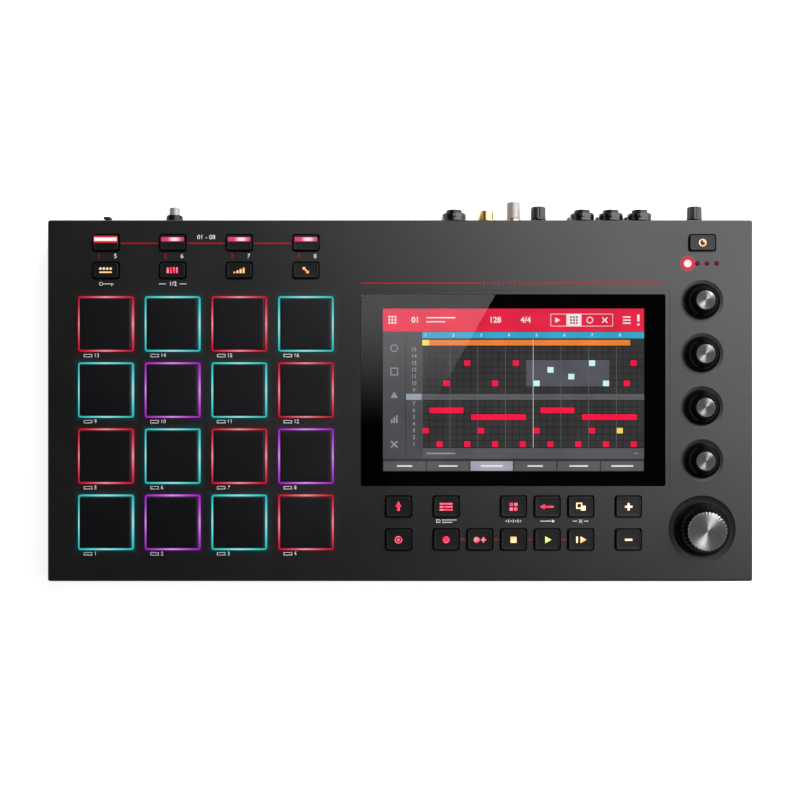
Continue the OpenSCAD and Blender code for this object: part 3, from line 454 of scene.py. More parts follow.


# The case plastic carries painted light: the glow of the pads' frames and the first lamp's pool, as emission
CASE = moulded("case_plastic", (0.008, 0.008, 0.0082), 2600, (0.39, 0.46), bump=0.3, depth=0.03, spill=painted_light_spill)
# Darker, less glossy copy of the case plastic: painted shade for the data dial's dish
DATA_DISH_SHADE = moulded("data_dish_painted_shade", (0.007, 0.007, 0.0072), 2600, (0.39, 0.46), bump=0.3, depth=0.03, gloss=0.24)
PAN = moulded("pan_paint", (0.01, 0.01, 0.0105), 1700, (0.42, 0.55), bump=0.35)
KEY = moulded("key_plastic", (0.006, 0.006, 0.0063), 2200, (0.38, 0.46), bump=0.15, depth=0.02, gloss=0.27)
RUBBER = moulded("pad_rubber", (0.0042, 0.0042, 0.0062), 1900, (0.4, 0.48), bump=0.4, depth=0.03, gloss=0.3)
DIAL = moulded("dial_plastic", (0.0025, 0.0025, 0.0027), 1800, (0.28, 0.38), bump=0.08, depth=0.02, gloss=0.14)
GRIP = moulded("dial_grip", (0.0025, 0.0025, 0.0027), 2400, (0.28, 0.38), bump=0.3, depth=0.02, gloss=0.18)
KNURL = moulded("knurled_knob", (0.004, 0.004, 0.0042), 1800, (0.3, 0.4), bump=0.1, depth=0.02)
SATIN = moulded("satin_metal", (0.36, 0.335, 0.31), 1300, (0.4, 0.52), change=0.25, bump=0.1, depth=0.02, metal=0.35)
FOOT = moulded("foot_rubber", (0.012, 0.012, 0.012), 900, (0.7, 0.85), bump=0.5, depth=0.06)
BOARD = moulded("board_green", (0.012, 0.06, 0.03), 700, (0.35, 0.5), bump=0.2)
CELLS = moulded("battery_wrap", (0.03, 0.07, 0.15), 300, (0.25, 0.4), bump=0.3, depth=0.1)
STEEL = moulded("bright_steel", (0.55, 0.55, 0.56), 1200, (0.2, 0.35), change=0.2, bump=0.1, depth=0.02, metal=1.0)
BLACK_STEEL = moulded("black_steel", (0.09, 0.09, 0.1), 1200, (0.3, 0.45), bump=0.1, depth=0.02, metal=1.0)
NUT_BLACK = moulded("nut_black", (0.05, 0.05, 0.052), 1300, (0.2, 0.32), bump=0.1, depth=0.02, metal=1.0)
SOCKET_BLACK = moulded("socket_insert", (0.02, 0.02, 0.021), 1500, (0.3, 0.42), bump=0.1, depth=0.02)
WHITE_INK = moulded("white_ink", (0.78, 0.78, 0.8), 1600, (0.5, 0.6), bump=0.1, depth=0.01, gloss=0.1)
RED_INK = moulded("red_ink", (0.4, 0.012, 0.022), 1600, (0.5, 0.6), bump=0.1, depth=0.01, gloss=0.05)
BLACK_MASK = moulded("screen_mask", (0.0015, 0.0015, 0.0018), 1200, (0.5, 0.6), bump=0.05, depth=0.01, gloss=0.1)
RED_SIGN = lit("red_sign", (0.95, 0.02, 0.08), (1.0, 0.2, 0.28), 1.4)
ORANGE_SIGN = lit("orange_sign", (0.95, 0.3, 0.07), (1.0, 0.62, 0.32), 1.25)
WARM_SIGN = lit("warm_sign", (1.0, 0.42, 0.14), (1.0, 0.86, 0.6), 1.5)
GREEN_SIGN = lit("green_sign", (0.55, 0.78, 0.06), (0.85, 1.0, 0.3), 1.3)

# Metal zones: phono sockets and ground post on one node, USB sockets and card slot on the other
phono_x, post_x = PLACES["phono_socket_lower"].x / MM, PLACES["ground_terminal"].x / MM
usb_left, usb_right = housing_low.x / MM + 88.0, housing_low.x / MM + 121.0
in_front_of_all = -200.0
AUDIO_SOCKETS = socket_finish("audio_socket_parts", [
    (phono_x - 4.6, phono_x + 4.6, REAR / MM + 0.3, (0.85, 0.6, 0.22)),
    (post_x - 4.5, post_x + 4.5, REAR / MM - 1.0, (0.6, 0.57, 0.54))])
DATA_SOCKETS = socket_finish("data_socket_parts", [
    (usb_left, usb_right, in_front_of_all, (0.55, 0.55, 0.56)),
    (usb_right + 2.0, usb_right + 33.0, in_front_of_all, (0.5, 0.5, 0.51))])

for node, finish in (("top_housing", CASE), ("bottom_pan", PAN), ("display_glass", cover_glass()),
                     ("display_module", STEEL), ("light_guides", frame_light()), ("control_board", BOARD),
                     ("main_board", BOARD), ("battery_pack", CELLS), ("audio_sockets", AUDIO_SOCKETS),
                     ("data_sockets", DATA_SOCKETS), ("rubber_feet", FOOT), ("case_screws", BLACK_STEEL),
                     ("data_plunger", STEEL)):
    frame["nodes"][node].material_slots[0].material = finish


# -------- Modelling

def choose(kind, test):
    """In edit mode, select the faces or edges that pass the test, and nothing else"""
    bpy.ops.mesh.select_mode(type=kind)
    bpy.ops.mesh.select_all(action='DESELECT')
    mesh = bmesh.from_edit_mesh(bpy.context.object.data)
    mesh.normal_update()
    for part in (mesh.faces if kind == 'FACE' else mesh.edges):
        if test(part):
            part.select_set(True)
    bmesh.update_edit_mesh(bpy.context.object.data)


def push(rise, wide=1.0, deep=1.0):
    """Extrude what is selected, move it up by millimetres and scale it about the origin's axis"""
    bpy.ops.mesh.extrude_region_move(TRANSFORM_OT_translate={"value": (0, 0, rise * MM)})
    bpy.ops.transform.resize(value=(wide, deep, 1), center_override=(0, 0, 0))


def recalculate():
    bpy.ops.mesh.select_all(action='SELECT')
    bpy.ops.mesh.remove_doubles(threshold=0.000001)
    bpy.ops.mesh.normals_make_consistent(inside=False)


def settle(piece, name, finish, body, replaced=()):
    """Apply a piece's place, name it, paint it and let it ride"""
    clear()
    piece.select_set(True)
    bpy.context.view_layer.objects.active = piece
    bpy.ops.object.transform_apply()
    piece.name = name
    piece.data.name = name
    piece.data.materials.clear()
    piece.data.materials.append(finish)
    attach(piece, body)
    if replaced:
        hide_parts(*replaced)
    return piece


def copy_of(piece):
    """Copy with its own mesh"""
    made = piece.copy()
    made.data = piece.data.copy()
    bpy.context.scene.collection.objects.link(made)
    return made


def drop(*pieces):
    for piece in pieces:
        bpy.data.objects.remove(piece)


def cap(w, d, top, seat, corner, edge, rings, flange=None, stem=None):
    """Pad or key cap over its flange, in millimetres: corners and top edge bevelled, top inset in rings of (width,
    rise). A flange is (width, depth, thickness), and one that isn't given is a thin foot of the cap's own size."""
    clear()
    bpy.ops.mesh.primitive_cube_add(size=MM, location=(0, 0, (top + seat) / 2 * MM), scale=(w, d, top - seat))
    piece = bpy.context.object
    bpy.ops.object.transform_apply()
    bpy.ops.object.mode_set(mode='EDIT')
    choose('EDGE', lambda e: abs(e.verts[0].co.z - e.verts[1].co.z) > 0.5 * (top - seat) * MM)
    bpy.ops.mesh.bevel(offset=corner * MM, segments=6, affect='EDGES')
    choose('EDGE', lambda e: min(v.co.z for v in e.verts) > (top - 0.01) * MM)
    bpy.ops.mesh.bevel(offset=edge * MM, segments=4, affect='EDGES')
    choose('FACE', lambda f: f.normal.z > 0.99 and f.calc_area() > 0.3 * w * d * MM * MM)
    wide, deep = w - 2 * edge, d - 2 * edge
    for border, rise in rings:
        push(rise, (wide - 2 * border) / wide, (deep - 2 * border) / deep)
        wide, deep = wide - 2 * border, deep - 2 * border
    choose('FACE', lambda f: f.normal.z < -0.99)
    flange_w, flange_d, flange_t = flange or (w, d, 0.02)
    push(0, flange_w / w, flange_d / d)
    push(-flange_t)
    if stem:
        stem_w, stem_h = stem
        push(0, stem_w / flange_w, stem_w / flange_d)
        push(-stem_h)
    recalculate()
    bpy.ops.object.mode_set(mode='OBJECT')
    bpy.ops.object.shade_smooth_by_angle(angle=radians(32))
    return piece


def turned(profile, steps=64, flutes=None, hollow=False):
    """Round piece on the vertical axis: a disc extruded and scaled ring by ring up its (radius, height) profile.
    A hollow one starts as a bare ring, and its profile comes back to where it starts. Flutes are their number, the
    heights between which they run, and the size of the steps from each flute's middle to its side."""
    clear()
    (radius, low), *rest = profile
    bpy.ops.mesh.primitive_circle_add(vertices=steps, radius=radius * MM, location=(0, 0, low * MM),
                                      fill_type='NOTHING' if hollow else 'NGON')
    piece = bpy.context.object
    bpy.ops.object.transform_apply()
    bpy.ops.object.mode_set(mode='EDIT')
    bpy.ops.mesh.select_mode(type='VERT')
    bpy.ops.mesh.select_all(action='SELECT')
    for r, z in rest:
        push(z - low, r / radius, r / radius)
        radius, low = r, z
    if flutes:
        count, bottom, ceiling, sizes = flutes
        every = steps // count
        for offset, size in enumerate(sizes):
            bpy.ops.mesh.select_mode(type='VERT')
            bpy.ops.mesh.select_all(action='DESELECT')
            mesh = bmesh.from_edit_mesh(piece.data)
            for vertex in mesh.verts:
                turn = round(vertex.co.xy.angle_signed((1, 0), 0) * steps / (2 * pi)) % every
                if turn in (offset, (every - offset) % every) and bottom < vertex.co.z / MM < ceiling:
                    vertex.select_set(True)
            mesh.select_flush_mode()
            bmesh.update_edit_mesh(piece.data)
            bpy.ops.transform.resize(value=(size, size, 1), center_override=(0, 0, 0))
    recalculate()
    bpy.ops.object.mode_set(mode='OBJECT')
    bpy.ops.object.shade_smooth_by_angle(angle=radians(30))
    return piece


def stand(piece, node):
    """Put a piece on the upright axis of its node"""
    x, y = middle(node)
    piece.location = (x * MM, y * MM, 0)
    return piece


def rearward(piece, place):
    """Lay a turned piece on its side, its axis towards the rear and its foot on the rear wall behind that place"""
    piece.rotation_euler = (-pi / 2, 0, 0)
    piece.location = (place[0], REAR, place[2])
    return piece


def add_bar(place, w, h):
    """In edit mode, add a plane of that width and depth in millimetres"""
    bpy.ops.mesh.primitive_plane_add(size=MM, location=place)
    bpy.ops.transform.resize(value=(w, h, 1), center_override=place)


LETTER_SIZE, LETTER_BOLD = 1.38, 0.03    # size and weight of the font for a number one millimetre high


def flat(z, shapes, thick=0.03):
    """Thin print on height z, in millimetres. After its kind and place, a shape has its size or radius, then the
    line of a frame or ring, or the turn of another shape in degrees."""
    clear()
    bpy.ops.mesh.primitive_plane_add(size=MM)
    print_piece = bpy.context.object
    bpy.ops.object.mode_set(mode='EDIT')
    bpy.ops.mesh.select_mode(type='VERT')
    bpy.ops.mesh.delete(type='VERT')
    numbers = []
    for kind, x, y, *rest in shapes:
        place = (x * MM, y * MM, z * MM)
        if kind == "bar":
            w, h, *turn = rest
            add_bar(place, w, h)
            if turn:
                bpy.ops.transform.rotate(value=radians(turn[0]), orient_axis='Z', center_override=place)
        elif kind == "number":
            numbers.append((place, *rest))
        elif kind == "frame":
            w, h, line = rest
            for dx, dy, fw, fh in ((0, (h - line) / 2, w, line), (0, (line - h) / 2, w, line),
                                   ((w - line) / 2, 0, line, h - 2 * line), ((line - w) / 2, 0, line, h - 2 * line)):
                add_bar(((x + dx) * MM, (y + dy) * MM, z * MM), fw, fh)
        elif kind == "ring":
            radius, line = rest
            bpy.ops.mesh.primitive_circle_add(vertices=28, radius=radius * MM, fill_type='NOTHING', location=place)
            bpy.ops.mesh.extrude_region_move()
            k = (radius - line) / radius
            bpy.ops.transform.resize(value=(k, k, 1), center_override=place)
        else:
            radius, *turn = rest
            bpy.ops.mesh.primitive_circle_add(vertices=3 if kind == "triangle" else 28, radius=radius * MM,
                                              fill_type='NGON', location=place,
                                              rotation=(0, 0, radians(turn[0]) if turn else 0))
    bpy.ops.mesh.select_all(action='SELECT')
    bpy.ops.mesh.normals_make_consistent(inside=False)
    choose('FACE', lambda f: f.normal.z < 0)
    bpy.ops.mesh.flip_normals()
    bpy.ops.object.mode_set(mode='OBJECT')
    made = [print_piece]
    for place, body, size in numbers:
        bpy.ops.object.text_add()
        text = bpy.context.object
        text.data.body = body
        text.data.size = size * LETTER_SIZE * MM
        text.data.align_x = 'CENTER'
        text.data.align_y = 'CENTER'
        text.data.resolution_u = 3
        text.data.offset = size * LETTER_BOLD * MM
        bpy.ops.object.convert(target='MESH')
        text = bpy.context.object
        text.location = place
        made.append(text)
    clear()
    for piece in made:
        piece.select_set(True)
    bpy.context.view_layer.objects.active = print_piece
    if len(made) > 1:
        bpy.ops.object.join()
    bpy.ops.object.modifier_add(type='SOLIDIFY')
    solid = print_piece.modifiers[-1]
    solid.thickness = thick * MM
    solid.offset = 1.0
    bpy.ops.object.modifier_apply(modifier=solid.name)
    return print_piece


# -------- Pads

pad_low, pad_high = (corner.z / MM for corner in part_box("pad_1"))
flange_t = 2.0
pad_form = cap(PAD_SIZE, PAD_SIZE, pad_high - 0.1, pad_low + flange_t, 0.7, 0.5,
               [(0.9, 0.05), (2.0, 0.03), (4.0, 0.02)], (PAD_FLANGE, PAD_FLANGE, flange_t))
for pad in PADS:
    settle(stand(copy_of(pad_form), pad), pad + "_rubber", RUBBER, pad, [pad])
drop(pad_form)


# -------- Keys

key_forms = {}


def key_form(w, d):
    """Cap of a key of that size, made once"""
    size = (round(w, 1), round(d, 1))
    if size not in key_forms:
        low, high = (corner.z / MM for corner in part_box("play_key"))
        seat, rim_t, stem_w = PANEL / MM - 2.7, 1.5, 3.2
        key_forms[size] = cap(w - KEY_GAP, d - KEY_GAP, high, seat, 1.3, 0.3, [(0.45, -0.1), (0.8, -0.03)],
                              (w + KEY_RIM, d + KEY_RIM, rim_t), (stem_w, seat - rim_t - low))
    return key_forms[size]


# Signs, in millimetres from the middle of the key
SIGNS = {
    "shift_key": (RED_SIGN, [("triangle", 0, 1.1, 2.1, 0), ("bar", 0, -1.3, 1.5, 2.2)]),
    "menu_key": (RED_SIGN, [("bar", 0, y, 7.6, 0.95) for y in (1.75, 0, -1.75)]),
    "main_key": (RED_SIGN, [("bar", x, y, 1.9, 1.9) for x in (-1.35, 1.35) for y in (-1.35, 1.35)]),
    "undo_key": (RED_SIGN, [("triangle", -2.4, 0, 1.9, 90), ("bar", 1.2, 0, 5.0, 1.1)]),
    "copy_key": (WARM_SIGN, [("frame", -1.0, 0.6, 3.6, 3.6, 0.7), ("bar", 1.3, -0.8, 2.8, 2.8)]),
    "plus_key": (WARM_SIGN, [("bar", 0, 0, 4.4, 1.2), ("bar", 0, 1.4, 1.2, 1.6), ("bar", 0, -1.4, 1.2, 1.6)]),
    "tap_key": (RED_SIGN, [("ring", 0, 0, 2.2, 0.6), ("disc", 0, 0, 0.9)]),
    "record_key": (RED_SIGN, [("disc", 0, 0, 2.0)]),
    "overdub_key": (RED_SIGN, [("disc", -1.9, 0, 1.7), ("bar", 2.1, 0, 3.0, 0.9), ("bar", 2.1, 1.0, 0.9, 1.1),
                               ("bar", 2.1, -1.0, 0.9, 1.1)]),
    "stop_key": (WARM_SIGN, [("bar", 0, 0, 3.5, 3.5)]),
    "play_key": (GREEN_SIGN, [("triangle", 0, 0, 2.4, -90)]),
    "play_start_key": (WARM_SIGN, [("bar", -2.3, 0, 1.0, 3.8), ("triangle", 0.9, 0, 2.3, -90)]),
    "minus_key": (WARM_SIGN, [("bar", 0, 0, 4.4, 1.2)]),
    "mode_key_1": (ORANGE_SIGN, [("disc", x, 0.9, 0.75) for x in (-3, -1, 1, 3)] + [("bar", 0, -1.2, 7.4, 0.8)]),
    "mode_key_2": (RED_SIGN, [("bar", x, 0, 1.1, 3.4) for x in (-2.7, -0.9, 0.9, 2.7)]),
    "mode_key_3": (ORANGE_SIGN, [("bar", -4.5 + 1.8 * i, -1.7 + 0.4 * i, 1.1, 0.8 * i) for i in (1, 2, 3, 4)]),
    "mode_key_4": (ORANGE_SIGN, [("bar", 0, 0, 4.8, 0.9, 45), ("bar", 1.07, -1.07, 1.75, 0.9, -45),
                                 ("bar", -1.07, 1.07, 1.75, 0.9, -45)]),
    "assign_key": (WARM_SIGN, [("ring", 0, 0, 2.2, 0.6), ("bar", 0.75, 0.75, 1.7, 0.6, 45)]),
}

bar_paint = bar_light()
for key in LARGE_KEYS + MODE_KEYS + BANK_KEYS + ["assign_key"]:
    low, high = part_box(key)
    w, d = (high.x - low.x) / MM - KEY_RIM, (high.y - low.y) / MM - KEY_RIM
    settle(stand(copy_of(key_form(w, d)), key), key + "_cap", KEY, key, [key])
    if key in SIGNS:
        ink, shapes = SIGNS[key]
        settle(stand(flat(high.z / MM - 0.12, shapes), key), key + "_sign", ink, key)
    else:
        long, tall = (14.0, 4.2) if key == BANK_KEYS[0] else (13.1, 2.7)
        bar = stand(cap(long, tall, high.z / MM, high.z / MM - 0.7, 0.5, 0.15, [(0.2, 0.03)]), key)
        bar.location.y += (d / 2 - BAR_IN) * MM
        settle(bar, key + "_bar", bar_paint, key)
drop(*key_forms.values())


# -------- Dials

def line_dish(node, inner, foot, outer, finish):
    """Dish round a dial: its wall falls from the top plate to a nearly flat floor that starts at the foot's radius"""
    rim = PANEL / MM
    below = (inner, rim - 0.75)
    dish = turned([below, (outer - 0.1, rim - 0.75), (outer + 0.02, rim + 0.01), (foot, rim - 0.64),
                   (inner, rim - 0.68), below], 96, hollow=True)
    settle(stand(dish, node), node + "_dish", finish, "case")


for dial in SMALL_DIALS:
    line_dish(dial, 9.9, 10.2, 12.5, CASE)
# The data dial's dish takes the darker copy of the case plastic, as painted shade
line_dish("data_knob", 15.0, 17.6, 19.8, DATA_DISH_SHADE)

soft_lit = []


def place_dial(node, skirt, cap_profile, finish, steps, cap_steps, flutes=None, cap_flutes=None):
    """Dial of a plastic body and a spun metal cap"""
    body = turned(skirt, steps, flutes)
    soft_lit.append(settle(stand(body, node), node + "_body", finish, node, [node]))
    metal = turned(cap_profile, cap_steps, cap_flutes)
    soft_lit.append(settle(stand(metal, node), node + "_cap", spun_metal(node), node))


for dial in SMALL_DIALS:
    low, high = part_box(dial)
    foot, under, top = low.z / MM, PANEL / MM - 0.2, high.z / MM
    place_dial(dial, [(2.9, foot), (2.9, under), (9.9, under), (10.4, under + 0.5), (10.4, under + 1.4),
                      (10.05, under + 1.9), (9.0, under + 2.15), (8.6, under + 2.4), (7.7, under + 3.3),
                      (7.1, under + 4.4), (6.7, under + 5.8), (6.5, top - 0.8), (6.35, top - 0.4),
                      (6.05, top - 0.2), (5.5, top - 0.25)],
               [(5.45, top - 0.6), (5.45, top - 0.18), (5.3, top - 0.04), (5.05, top), (3.6, top - 0.05),
                (1.8, top - 0.09), (0.5, top - 0.1)], DIAL, 96, 64)

low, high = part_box("data_knob")
foot, under, top = low.z / MM, PANEL / MM + 0.8, high.z / MM
FLUTES, FLUTE = 32, (0.955, 0.962, 0.985)
place_dial("data_knob",
           [(2.9, foot), (2.9, under), (15.2, under), (15.7, under + 0.5), (15.7, under + 1.6),
            (15.3, under + 2.2), (14.2, under + 2.7), (13.4, under + 3.1), (12.7, under + 4.2),
            (12.45, under + 4.8), (12.2, top - 1.2), (12.05, top - 0.6), (11.8, top - 0.25), (11.45, top - 0.3)],
           [(11.4, top - 0.7), (11.4, top - 0.3), (11.2, top - 0.08), (10.8, top), (8.0, top - 0.06),
            (5.0, top - 0.12), (2.5, top - 0.15), (0.6, top - 0.16)], GRIP, 256, 256,
           (FLUTES, 36.6, 60, FLUTE), (FLUTES, top - 0.75, top - 0.01, FLUTE))

# The window lamp is too strong for bare metal and gloss, so the dials have three of their own: a broad one for all,
# and a far one each for the small dials and the data dial
small_lit = [piece for piece in soft_lit if piece.name.startswith("param_knob")]
data_lit = [piece for piece in soft_lit if piece not in small_lit]
broad = add_lamp("dial_broad", 'AREA', (0.33, 0.1, 0.463), (0.15, 0.0, 0.02), 0.3, **BROAD)
far_small = add_lamp("dial_far_small", 'SUN', FAR_LAMP, (0, 0, 0), 0.65, angle=radians(17))
far_data = add_lamp("dial_far_data", 'SUN', FAR_LAMP, (0, 0, 0), 1.25, angle=radians(20))
for lamp, pieces in ((broad, soft_lit), (far_small, small_lit), (far_data, data_lit)):
    link_light(lamp, pieces, 'INCLUDE')
link_light(window, soft_lit, 'EXCLUDE')


def behind(node):
    """How far behind the rear wall a node starts and ends, in millimetres"""
    return [(corner.y - REAR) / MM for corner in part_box(node)]


def place_behind(node, body, name, finish):
    """Lay a turned piece in place of its node, on the node's own axis"""
    low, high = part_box(node)
    settle(rearward(body, (low + high) / 2), name, finish, node, [node])


for knob in ("record_level_knob", "master_level_knob"):
    start, end = behind(knob)
    body = turned([(1.45, start), (1.45, 1.9), (4.3, 1.9), (4.6, 2.2), (4.6, 3.0), (4.5, 3.3), (4.45, end - 0.9),
                   (4.2, end - 0.35), (3.8, end - 0.1), (3.4, end), (1.0, end - 0.05)], 96,
                  (12, 3.2, end - 0.2, (0.93, 0.945, 0.98)))
    place_behind(knob, body, knob + "_body", KNURL)

start, end = behind("power_button")
button = turned([(3.15, start), (3.15, end - 0.55), (3.0, end - 0.25), (2.7, end - 0.05), (2.2, end),
                 (1.2, end - 0.12), (0.4, end - 0.15)])
place_behind("power_button", button, "power_button_metal", SATIN)

start, end = behind("ground_nut")
nut = turned([(2.15, start + 0.9), (2.15, start), (3.6, start), (3.95, start + 0.35), (3.95, end - 0.5),
              (3.7, end - 0.15), (3.3, end), (0.8, end - 0.06)], 96, (24, start + 0.5, end - 0.7, (0.95, 0.97)))
place_behind("ground_nut", nut, "ground_nut_metal", SATIN)


# -------- Sockets behind

def fit(piece, at, name, finish):
    """Fit a piece into or onto a socket of the case"""
    settle(rearward(piece, at), name, finish, "case")


nut_form = turned([(4.73, 0.05), (6.9, 0.05), (7.08, 0.25), (7.08, 1.2), (6.98, 1.4), (6.98, 1.55), (7.12, 1.8),
                   (7.12, 4.1), (6.85, 4.5), (5.2, 4.6), (4.73, 4.5), (4.73, 0.05)], 96,
                  (24, 1.7, 4.2, (0.982, 0.988)), hollow=True)
lip_form = turned([(3.32, 6.35), (4.5, 6.35), (4.62, 6.5), (4.5, 6.72), (3.7, 6.78), (3.4, 6.68), (3.32, 6.35)],
                  hollow=True)
for place, at in PLACES.items():
    if "_jack" in place:
        fit(copy_of(nut_form), at, place + "_nut", NUT_BLACK)
        fit(copy_of(lip_form), at, place + "_lip", STEEL)
drop(nut_form, lip_form)

insert_form = turned([(6.5, -7.9), (6.5, -6.4), (6.3, -6.2), (1.0, -6.15)])
contact_form = turned([(0.78, -6.3), (0.78, -6.0), (0.6, -5.95), (0.3, -6.2)], 20)
for place, at in PLACES.items():
    if place.startswith("five_pin"):
        fit(copy_of(insert_form), at, place + "_insert", SOCKET_BLACK)
        for i in range(5):
            turn = radians(180 + 45 * i)
            spot = at + Vector((3.0 * cos(turn), 0, 3.0 * sin(turn))) * MM
            fit(copy_of(contact_form), spot, "%s_contact_%d" % (place, i + 1), STEEL)
drop(insert_form, contact_form)

# Floor of each USB socket, and the tongue that stands on it
for place, floor_size, tongue_size, up in (("usb_a_lower", (12.3, 5.0), (11.2, 1.8), 0.8),
                                           ("usb_a_upper", (12.3, 5.0), (11.2, 1.8), 0.8),
                                           ("usb_b", (8.3, 7.6), (5.6, 3.2), 0.0)):
    at = OPENINGS[place]
    fit(cap(*floor_size, -8.4, -8.95, 0.25, 0.1, [(0.4, -0.03)]), at, place + "_floor", SOCKET_BLACK)
    tongue = cap(*tongue_size, -1.4, -8.5, 0.25, 0.2, [(0.2, 0.05)])
    fit(tongue, at + Vector((0, 0, up * MM)), place + "_tongue", SOCKET_BLACK)

inlet_pin = turned([(1.0, -9.4), (1.0, -1.6), (0.75, -1.2), (0.3, -1.1)], 32)
fit(inlet_pin, PLACES["power_inlet"], "power_inlet_pin", STEEL)


# -------- Prints on the top plate

panel_z = PANEL / MM - 0.01
PAD_LABEL = 18.6         # from a pad's middle forward to its label
KEY_LABEL = 7.9          # the same for the bank and mode keys
FRONT_LABEL = 8.6        # the same for the keys in front
LINE = 0.45              # thin lines of the labels
BANK_BREAK = 17.4        # how much of a red line between two keys' middles the keys take up
PLAY_BREAK = 16.9
TITLE_Y = 62.9           # the red line over the display, and the ruler of ticks in it
TICKS, TICK_START, TICK_PITCH = 16, 49.3, 2.28
white, red = [], []
for i, pad in enumerate(PADS):
    x, y = middle(pad)
    white.append(("frame", x - 10.7, y - PAD_LABEL, 5.0, 1.9, 0.4))
    white.append(("number", x - 6.4 + (0.7 if i > 8 else 0), y - PAD_LABEL, str(i + 1), 2.3))
for i, key in enumerate(BANK_KEYS):
    x, y = middle(key)
    red.append(("number", x - 4.4, y - KEY_LABEL, str(i + 1), 2.7))
    white.append(("number", x + 5.3, y - KEY_LABEL, str(i + 5), 2.7))
    if i:
        before = middle(BANK_KEYS[i - 1])[0]
        red.append(("bar", (x + before) / 2, y - 0.2, x - before - BANK_BREAK, 0.85))
(x0, y0), (x1, _) = middle("bank_key_2"), middle("bank_key_3")
white.append(("number", (x0 + x1) / 2, y0 + 3.3, "01 - 08", 2.7))
below = {"mode_key_1": [("ring", -3.0, 0, 1.15, 0.4), ("bar", 1.2, 0, 6.4, LINE), ("bar", 3.2, -0.6, 0.5, 1.3)],
         "mode_key_2": [("number", 0, 0, "1/2", 2.6), ("bar", -6.1, 0, 4.0, LINE), ("bar", 6.1, 0, 4.0, LINE)],
         "menu_key": [("frame", -4.6, 0, 2.4, 2.0, 0.4), ("bar", 1.9, 0.7, 8.6, LINE), ("bar", 0.6, -0.7, 6.0, LINE)],
         "main_key": [("bar", -4.2 + 1.4 * i, 0, 0.55, 1.0 + 0.9 * (i % 2)) for i in range(7)],
         "undo_key": [("triangle", 3.6, 0, 1.2, -90), ("bar", -0.6, 0, 6.6, 0.5)],
         "copy_key": [("bar", 0, 0, 2.6, LINE, 45), ("bar", 0, 0, 2.6, LINE, -45), ("bar", -3.4, 0, 2.6, LINE),
                      ("bar", 3.4, 0, 2.6, LINE)]}
for key, shapes in below.items():
    x, y = middle(key)
    y -= KEY_LABEL if key in MODE_KEYS else FRONT_LABEL
    white += [(kind, x + dx, y + dy, *rest) for kind, dx, dy, *rest in shapes]
transport = ["record_key", "overdub_key", "stop_key", "play_key", "play_start_key"]
for before, after in zip(transport, transport[1:]):
    (x0, y0), (x1, _) = middle(before), middle(after)
    red.append(("bar", (x0 + x1) / 2, y0, x1 - x0 - PLAY_BREAK, 0.75))
for start, end in ((-23.1, 47.4), (85.4, 155.3)):
    red.append(("bar", (start + end) / 2, TITLE_Y, end - start, 0.75))
for i in range(TICKS):
    red.append(("bar", TICK_START + i * TICK_PITCH, TITLE_Y, 0.6, 1.4 if i % 4 else 2.6))
settle(flat(panel_z, white), "white_print", WHITE_INK, "case")
settle(flat(panel_z, red), "red_print", RED_INK, "case")


# -------- Picture on the display

pic_z = glass_low.z / MM + 0.04
LAYER = 0.03             # from one layer of the picture to the next
THIN = 0.02
left, right, front, back = -10.2, 143.8, -48.0, 48.0
HEADER_Y, RULER_Y, SONG_Y, STRIP_Y, TABS_Y = 41.2, 32.3, 27.9, -37.4, -44.8
ICONS_X, ROWS_X = -3.5, 8.1
TAB_PITCH, TAB_W = 25.66, 24.9
gx, gy = middle("display_glass")
glass_w, glass_d = (glass_high.x - glass_low.x) / MM, (glass_high.y - glass_low.y) / MM
mask = [("bar", gx, gy, glass_w - 0.2, glass_d - 0.2)]
settle(flat(pic_z - LAYER, mask, THIN), "display_mask", BLACK_MASK, "case")

grid_left, grid_front, grid_back = 13.0, -33.9, 25.8
grid_w, grid_d = right - grid_left, grid_back - grid_front
grid_x, grid_y = grid_left + grid_w / 2, (grid_front + grid_back) / 2
STEPS, ROWS, PLAYED_ROW = 32, 15, 7
cell_w, cell_d = grid_w / STEPS, grid_d / ROWS
played_y = grid_front + (PLAYED_ROW + 0.5) * cell_d


def cell(step, row, long=1.0):
    """Note on the grid: step from the left, row from the front"""
    return ("bar", grid_left + (step + long / 2) * cell_w, grid_front + (row + 0.5) * cell_d,
            long * cell_w - 0.5, cell_d - 0.7)


def tab(i, w=TAB_W, h=5.6):
    """Bar of that size in the middle of a tab, from the left"""
    return ("bar", left + (i + 0.5) * TAB_PITCH, TABS_Y, w, h)


